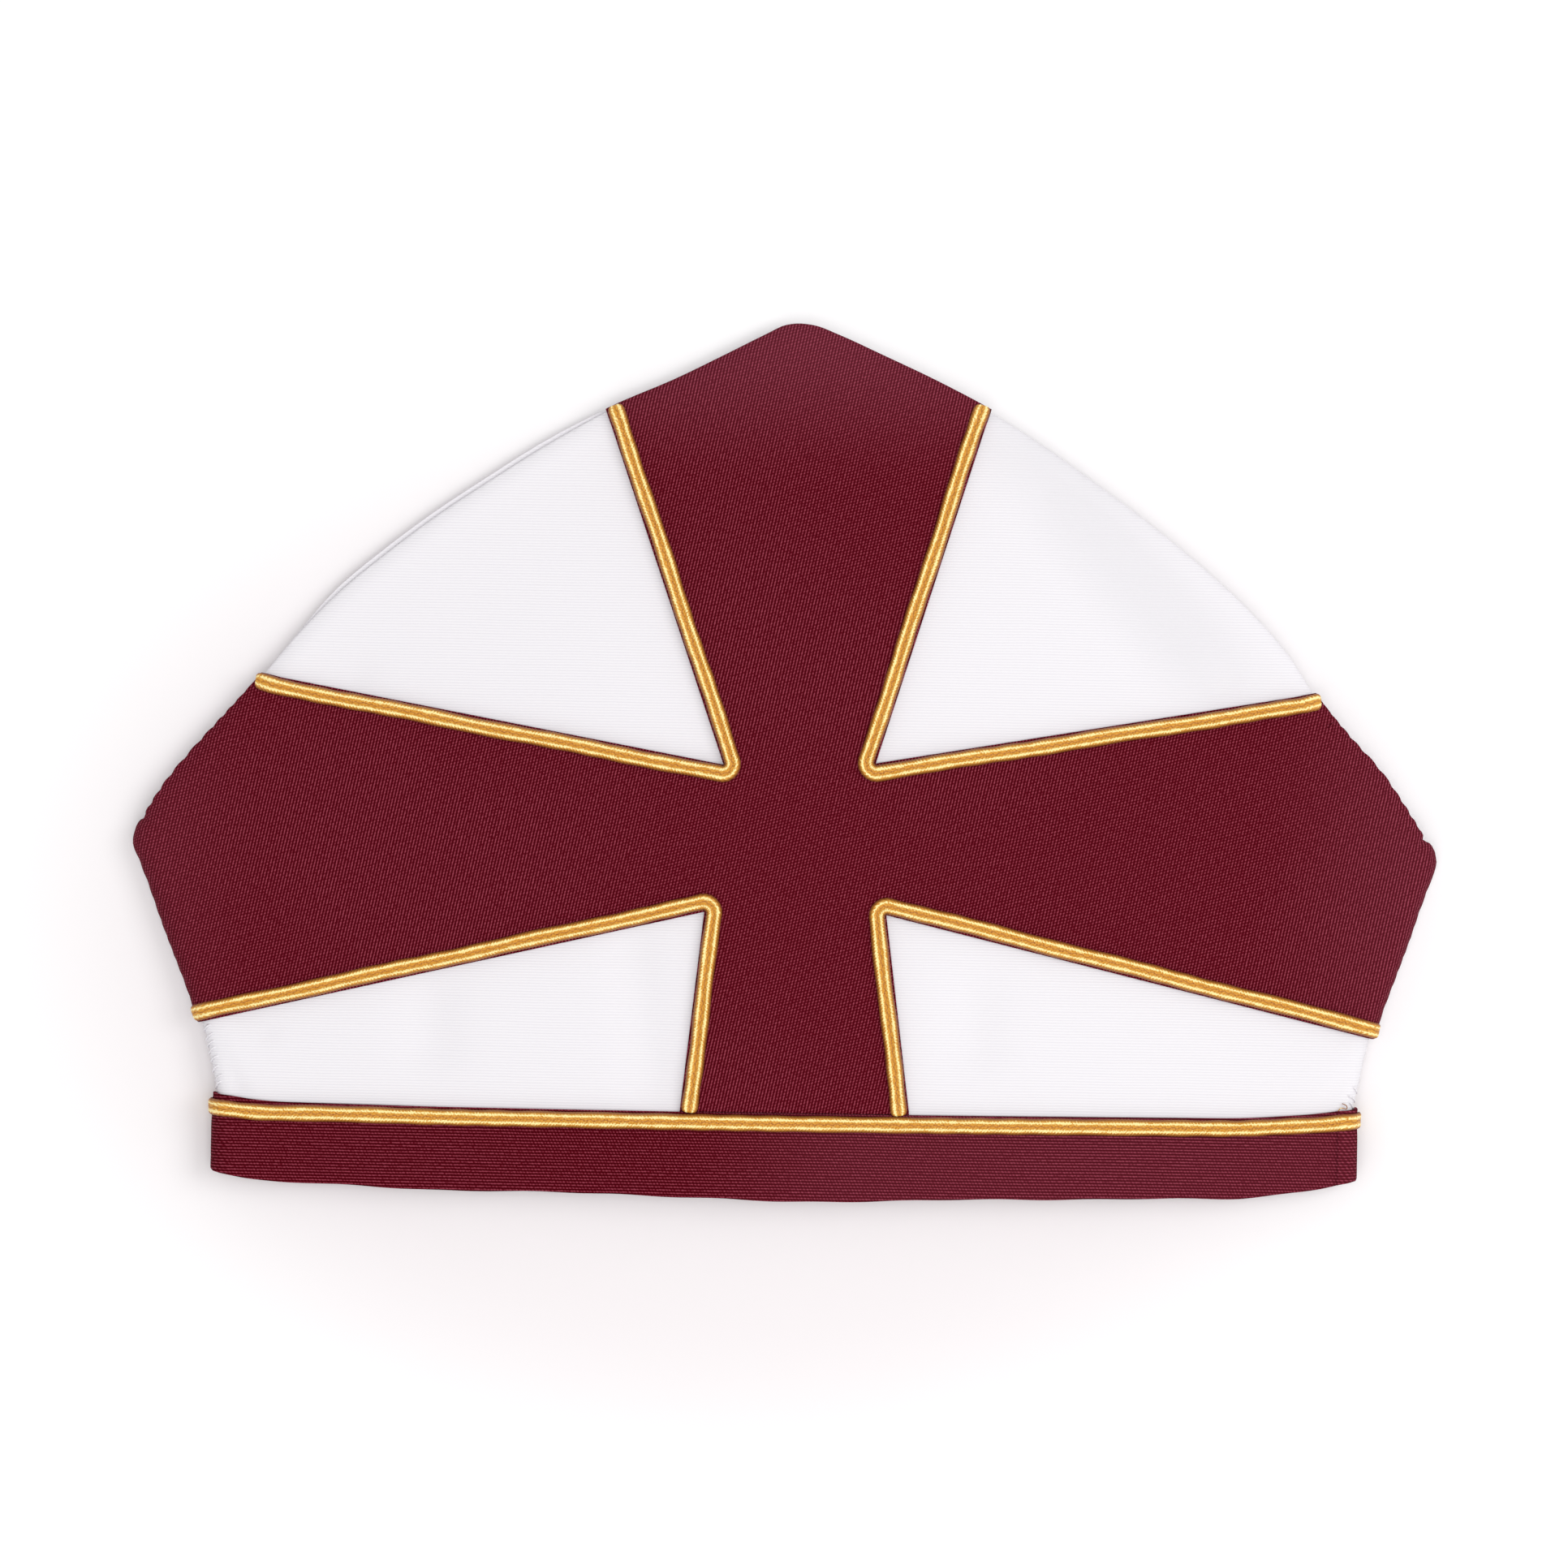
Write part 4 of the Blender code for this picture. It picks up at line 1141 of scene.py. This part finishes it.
@dataclass
class NotchBraid(Braid):
    """Braid along the two edges of one notch of the cross."""

    front: Panel | None = None
    corner: Corner = Corner.UPPER_LEFT
    end_round: float = 0.0014
    end_fill: float = 0.0035
    held_back: float = 0.0006
    press_start: float = 0.0010
    press_run: float = 0.0040
    wander: float = 0.00012

    def line(self) -> tuple[Array, Array]:
        """Centre line in developed plan, in even steps, and its headings."""
        cut, crown = self.cut, self.front.crown
        start, upright, level, opening = self.corner.legs(cut)
        inset = cut.braid_corner / math.tan(opening / 2)
        reaches = []
        for run in (upright, level):
            if run[1] < -abs(run[0]):
                goal = float(crown.band_top(start[0])) - cut.cloth_margin + cut.gap
                reaches.append((goal - start[1]) / run[1])
            else:
                reaches.append(self.front.crossing(start, run, cut.edge_length - self.held_back))
        centre = start + unit(upright + level) * cut.braid_corner / math.sin(opening / 2)
        spokes = [start + run * inset - centre for run in (upright, level)]
        first, last = (math.atan2(spoke[1], spoke[0]) for spoke in spokes)
        turn = (last - first + math.pi) % (2 * math.pi) - math.pi
        angles = first + turn * np.linspace(0.0, 1.0, 40)
        bend = centre + cut.braid_corner * np.column_stack([np.cos(angles), np.sin(angles)])
        rough = np.vstack([start + upright * reaches[0], bend, start + level * reaches[1]])
        marks = running(sizes(np.diff(rough, axis=0)))
        even = np.linspace(0.0, marks[-1], math.ceil(marks[-1] / (STRAND_PITCH / 4)) + 1)
        points = np.column_stack([np.interp(even, marks, rough[:, axis]) for axis in (0, 1)])
        heading = unit(np.gradient(points, axis=0))
        wander = self.wander * np.sin(even * 150.0 + ord(self.corner.name[-1]))[:, None]
        return points + left_of(heading) * wander, heading

    def build(self) -> Piece:
        """Make the braid."""
        points, heading = self.line()
        along = running(sizes(np.diff(points, axis=0)))
        across, up, weave = self.rings(along)
        left_over = np.minimum(along, along[-1] - along)[:, None]
        end = rounded(left_over, self.end_round)
        up = self.fill_groove(across, up, 1.0 - ease(left_over / self.end_fill))
        pressed = 1.0 - 0.5 * (1.0 - ease((left_over - self.press_start) / self.press_run))
        across, up = across * (0.55 + 0.45 * end), up * (0.30 + 0.70 * end) * pressed
        flat = points[:, None] - left_of(heading)[:, None] * across[..., None]
        spots = self.front.lay(flat.reshape(-1, 2), (self.cut.braid_lift + up).ravel())
        mesh = wrapped(spots.reshape(*across.shape, 3), weave, False, True)
        name = self.corner.name.lower()
        return add_piece("plait_" + name, mesh, self.finish, Slot.GOLD, "braid_" + name)


@dataclass
class Threads:
    """Whip stitches over the white side edges, and two short ends that have worked loose at the trim."""

    front: Panel
    white: Material
    gold: Material
    maroon: Material
    radius: float = 0.00012
    stitch_radius: float = 0.00024
    stitch_pitch: float = 0.0021
    stitch_foot: float = 0.0045
    left_rise: float = 0.0190
    right_rise: float = 0.0060
    step: float = 0.00016
    gold_end: tuple = ((0.1432, -0.0872, 0.0013), (0.1440, -0.0864, 0.0017), (0.1448, -0.0866, 0.0018),
                       (0.1449, -0.0858, 0.0016), (0.1442, -0.0853, 0.0012))
    maroon_end: tuple = ((0.1388, 0.0108, 0.0020), (0.1396, 0.0117, 0.0023), (0.1407, 0.0121, 0.0018))

    def thread(self, path: tuple | Array, radius: float) -> Mesh:
        """Mesh of one thread along a path of (x, y, lift), in place."""
        line = curve_through(np.array(path), self.step)
        spots = self.front.lay(line[:, :2], line[:, 2])
        heading = unit(np.gradient(spots, axis=0))
        side = unit(np.cross(heading, [0.1, 0.0, 1.0]))
        up = np.cross(side, heading)
        angles = np.linspace(0.0, 2 * math.pi, 8)[:, None]
        tube = spots[:, None] + radius * (side[:, None] * np.cos(angles) + up[:, None] * np.sin(angles))
        tube[:, -1] = tube[:, 0]
        weave = np.stack(np.meshgrid(angles[:, 0] * radius, np.arange(len(line)) * self.step), axis=-1)
        return wrapped(tube, weave, False, True)

    def stitches(self, side: float, low: float, high: float) -> Mesh:
        """Whip stitches over the left (-1) or right (1) side edge, between two y."""
        joined = bmesh.new()
        joined.loops.layers.uv.new("Weave")
        for index, y in enumerate(np.arange(low, high, self.stitch_pitch)):
            start = np.array([0.0, y + 0.0004 * math.sin(5.0 * index)])
            edge = side * self.front.crossing(start, np.array([side, 0.0]), 0.0)
            outer = 0.0012 + 0.0004 * math.sin(3.0 * index + 1.0)
            lift = self.front.cut.panel_cloth / 2 + 0.6 * self.stitch_radius
            # Columns: past the shoulder line, up along the edge, above the cloth.
            spans = ((outer, 0.0009, -0.0005), (outer + 0.0004, 0.0007, 0.0), (0.0028, -0.0003, 0.0),
                     (0.0042, -0.0013, 0.0))
            path = [(edge + side * out, start[1] + up, lift + above) for out, up, above in spans]
            spare = bpy.data.meshes.new("stitch")
            stitch = self.thread(path, self.stitch_radius)
            stitch.to_mesh(spare)
            stitch.free()
            joined.from_mesh(spare)
            bpy.data.meshes.remove(spare)
        return joined

    def build(self) -> list[Piece]:
        """Make the stitches and both thread ends."""
        low = self.front.cut.band_top_y + self.stitch_foot
        left = self.stitches(-1.0, low, low + self.left_rise)
        right = self.stitches(1.0, low, low + self.right_rise)
        gold, maroon = self.thread(self.gold_end, self.radius), self.thread(self.maroon_end, self.radius)
        return [
            add_piece("whip_stitches_left", left, self.white, Slot.WHITE),
            add_piece("whip_stitches_right", right, self.white, Slot.WHITE),
            add_piece("loose_gold_thread", gold, self.gold, Slot.GOLD),
            add_piece("loose_maroon_thread", maroon, self.maroon, Slot.MAROON),
        ]


@dataclass
class Studio:
    """Pale floor, soft light from the right, from the foot's side and from above, and the camera overhead."""

    view_width: float = 0.4031
    view_centre: tuple[float, float] = (-0.0005, -0.0059)
    view_turn: float = math.radians(1.04)
    lens: float = 120.0
    sensor: float = 36.0
    floor_half: float = 3.0
    sky: float = 0.60

    def build(self) -> None:
        """Set the scene."""
        scene = bpy.context.scene
        scene.view_settings.view_transform = "Standard"
        self.floor()
        for name, place, size, power in SOFTBOXES:
            self.light(name, place, size, power)
        world = bpy.data.worlds.new("pale_room")
        world.use_nodes = True
        inputs = world.node_tree.nodes["Background"].inputs
        inputs["Color"].default_value = (1.0, 0.985, 0.99, 1.0)
        inputs["Strength"].default_value = self.sky
        scene.world = world
        data = bpy.data.cameras.new("overhead_camera")
        data.lens, data.sensor_width = self.lens, self.sensor
        data.clip_start, data.clip_end = 0.01, 20.0
        camera = linked("overhead_camera", data)
        camera.location = (*self.view_centre, 0.008 + self.view_width * self.lens / self.sensor)
        camera.rotation_euler = (0.0, 0.0, self.view_turn)
        scene.camera = camera

    def floor(self) -> None:
        """Lay the floor."""
        mesh = bmesh.new()
        bmesh.ops.create_grid(mesh, x_segments=4, y_segments=4, size=self.floor_half)
        meshed("floor", mesh, PaleFloor().material())

    def light(self, name: str, place: tuple[float, float, float], size: float, power: float) -> None:
        """Hang a square softbox that faces the mitre."""
        data = bpy.data.lights.new(name, "AREA")
        data.shape, data.size, data.energy = "SQUARE", size, power
        lamp = linked(name, data)
        lamp.location = place
        away = np.array(place)
        lamp.rotation_euler = (math.acos(away[2] / np.linalg.norm(away)), 0.0,
                               math.atan2(away[1], away[0]) + math.pi / 2)


@dataclass
class Finishes:
    """The mitre's materials."""

    white: Material = field(default_factory=lambda: WhiteFaille().material())
    cross: Material = field(default_factory=lambda: MaroonPoplin(
        "maroon_poplin_cross", Ribs(0.000785, -12.5), Ribs(0.00072, -74.5)).material())
    band: Material = field(default_factory=lambda: MaroonPoplin(
        "maroon_poplin_band", Ribs(0.00077, 90.0), Ribs(0.00074, 26.0), weave_groove_shade=(0.050, 0.0002, 0.0022),
        middle=(0.090, 0.0012, 0.0062), light=(0.258, 0.0410, 0.0650)).material())
    gold: Material = field(default_factory=lambda: GoldPlait().material())


def main() -> None:
    """Build the mitre piece by piece, and the studio round it."""
    logging.basicConfig(level=logging.INFO, format="%(name)s: %(message)s")
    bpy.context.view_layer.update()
    cut = Cut()
    crown = Crown(cut)
    front, back = Panel(crown, Face.FRONT), Panel(crown, Face.BACK)
    finishes = Finishes()
    pieces = Shields(front, back, finishes.white).build()
    pieces.append(Gusset(back, finishes.white).build())
    pieces.append(Cross(front, finishes.cross).build())
    pieces.append(Headband(BandLine(front, back, CLOTH_STEP), finishes.band).build())
    pieces.append(BandBraid(cut, finishes.gold, line=BandLine(front, back, BRAID_STEP)).build())
    for corner in Corner:
        pieces.append(NotchBraid(cut, finishes.gold, front=front, corner=corner).build())
    pieces += Threads(front, finishes.white, finishes.gold, finishes.cross).build()
    for piece in pieces:
        LOG.info("%s: %d faces", piece.name, len(piece.data.polygons))
    Studio().build()


if __name__ == "__main__":
    main()
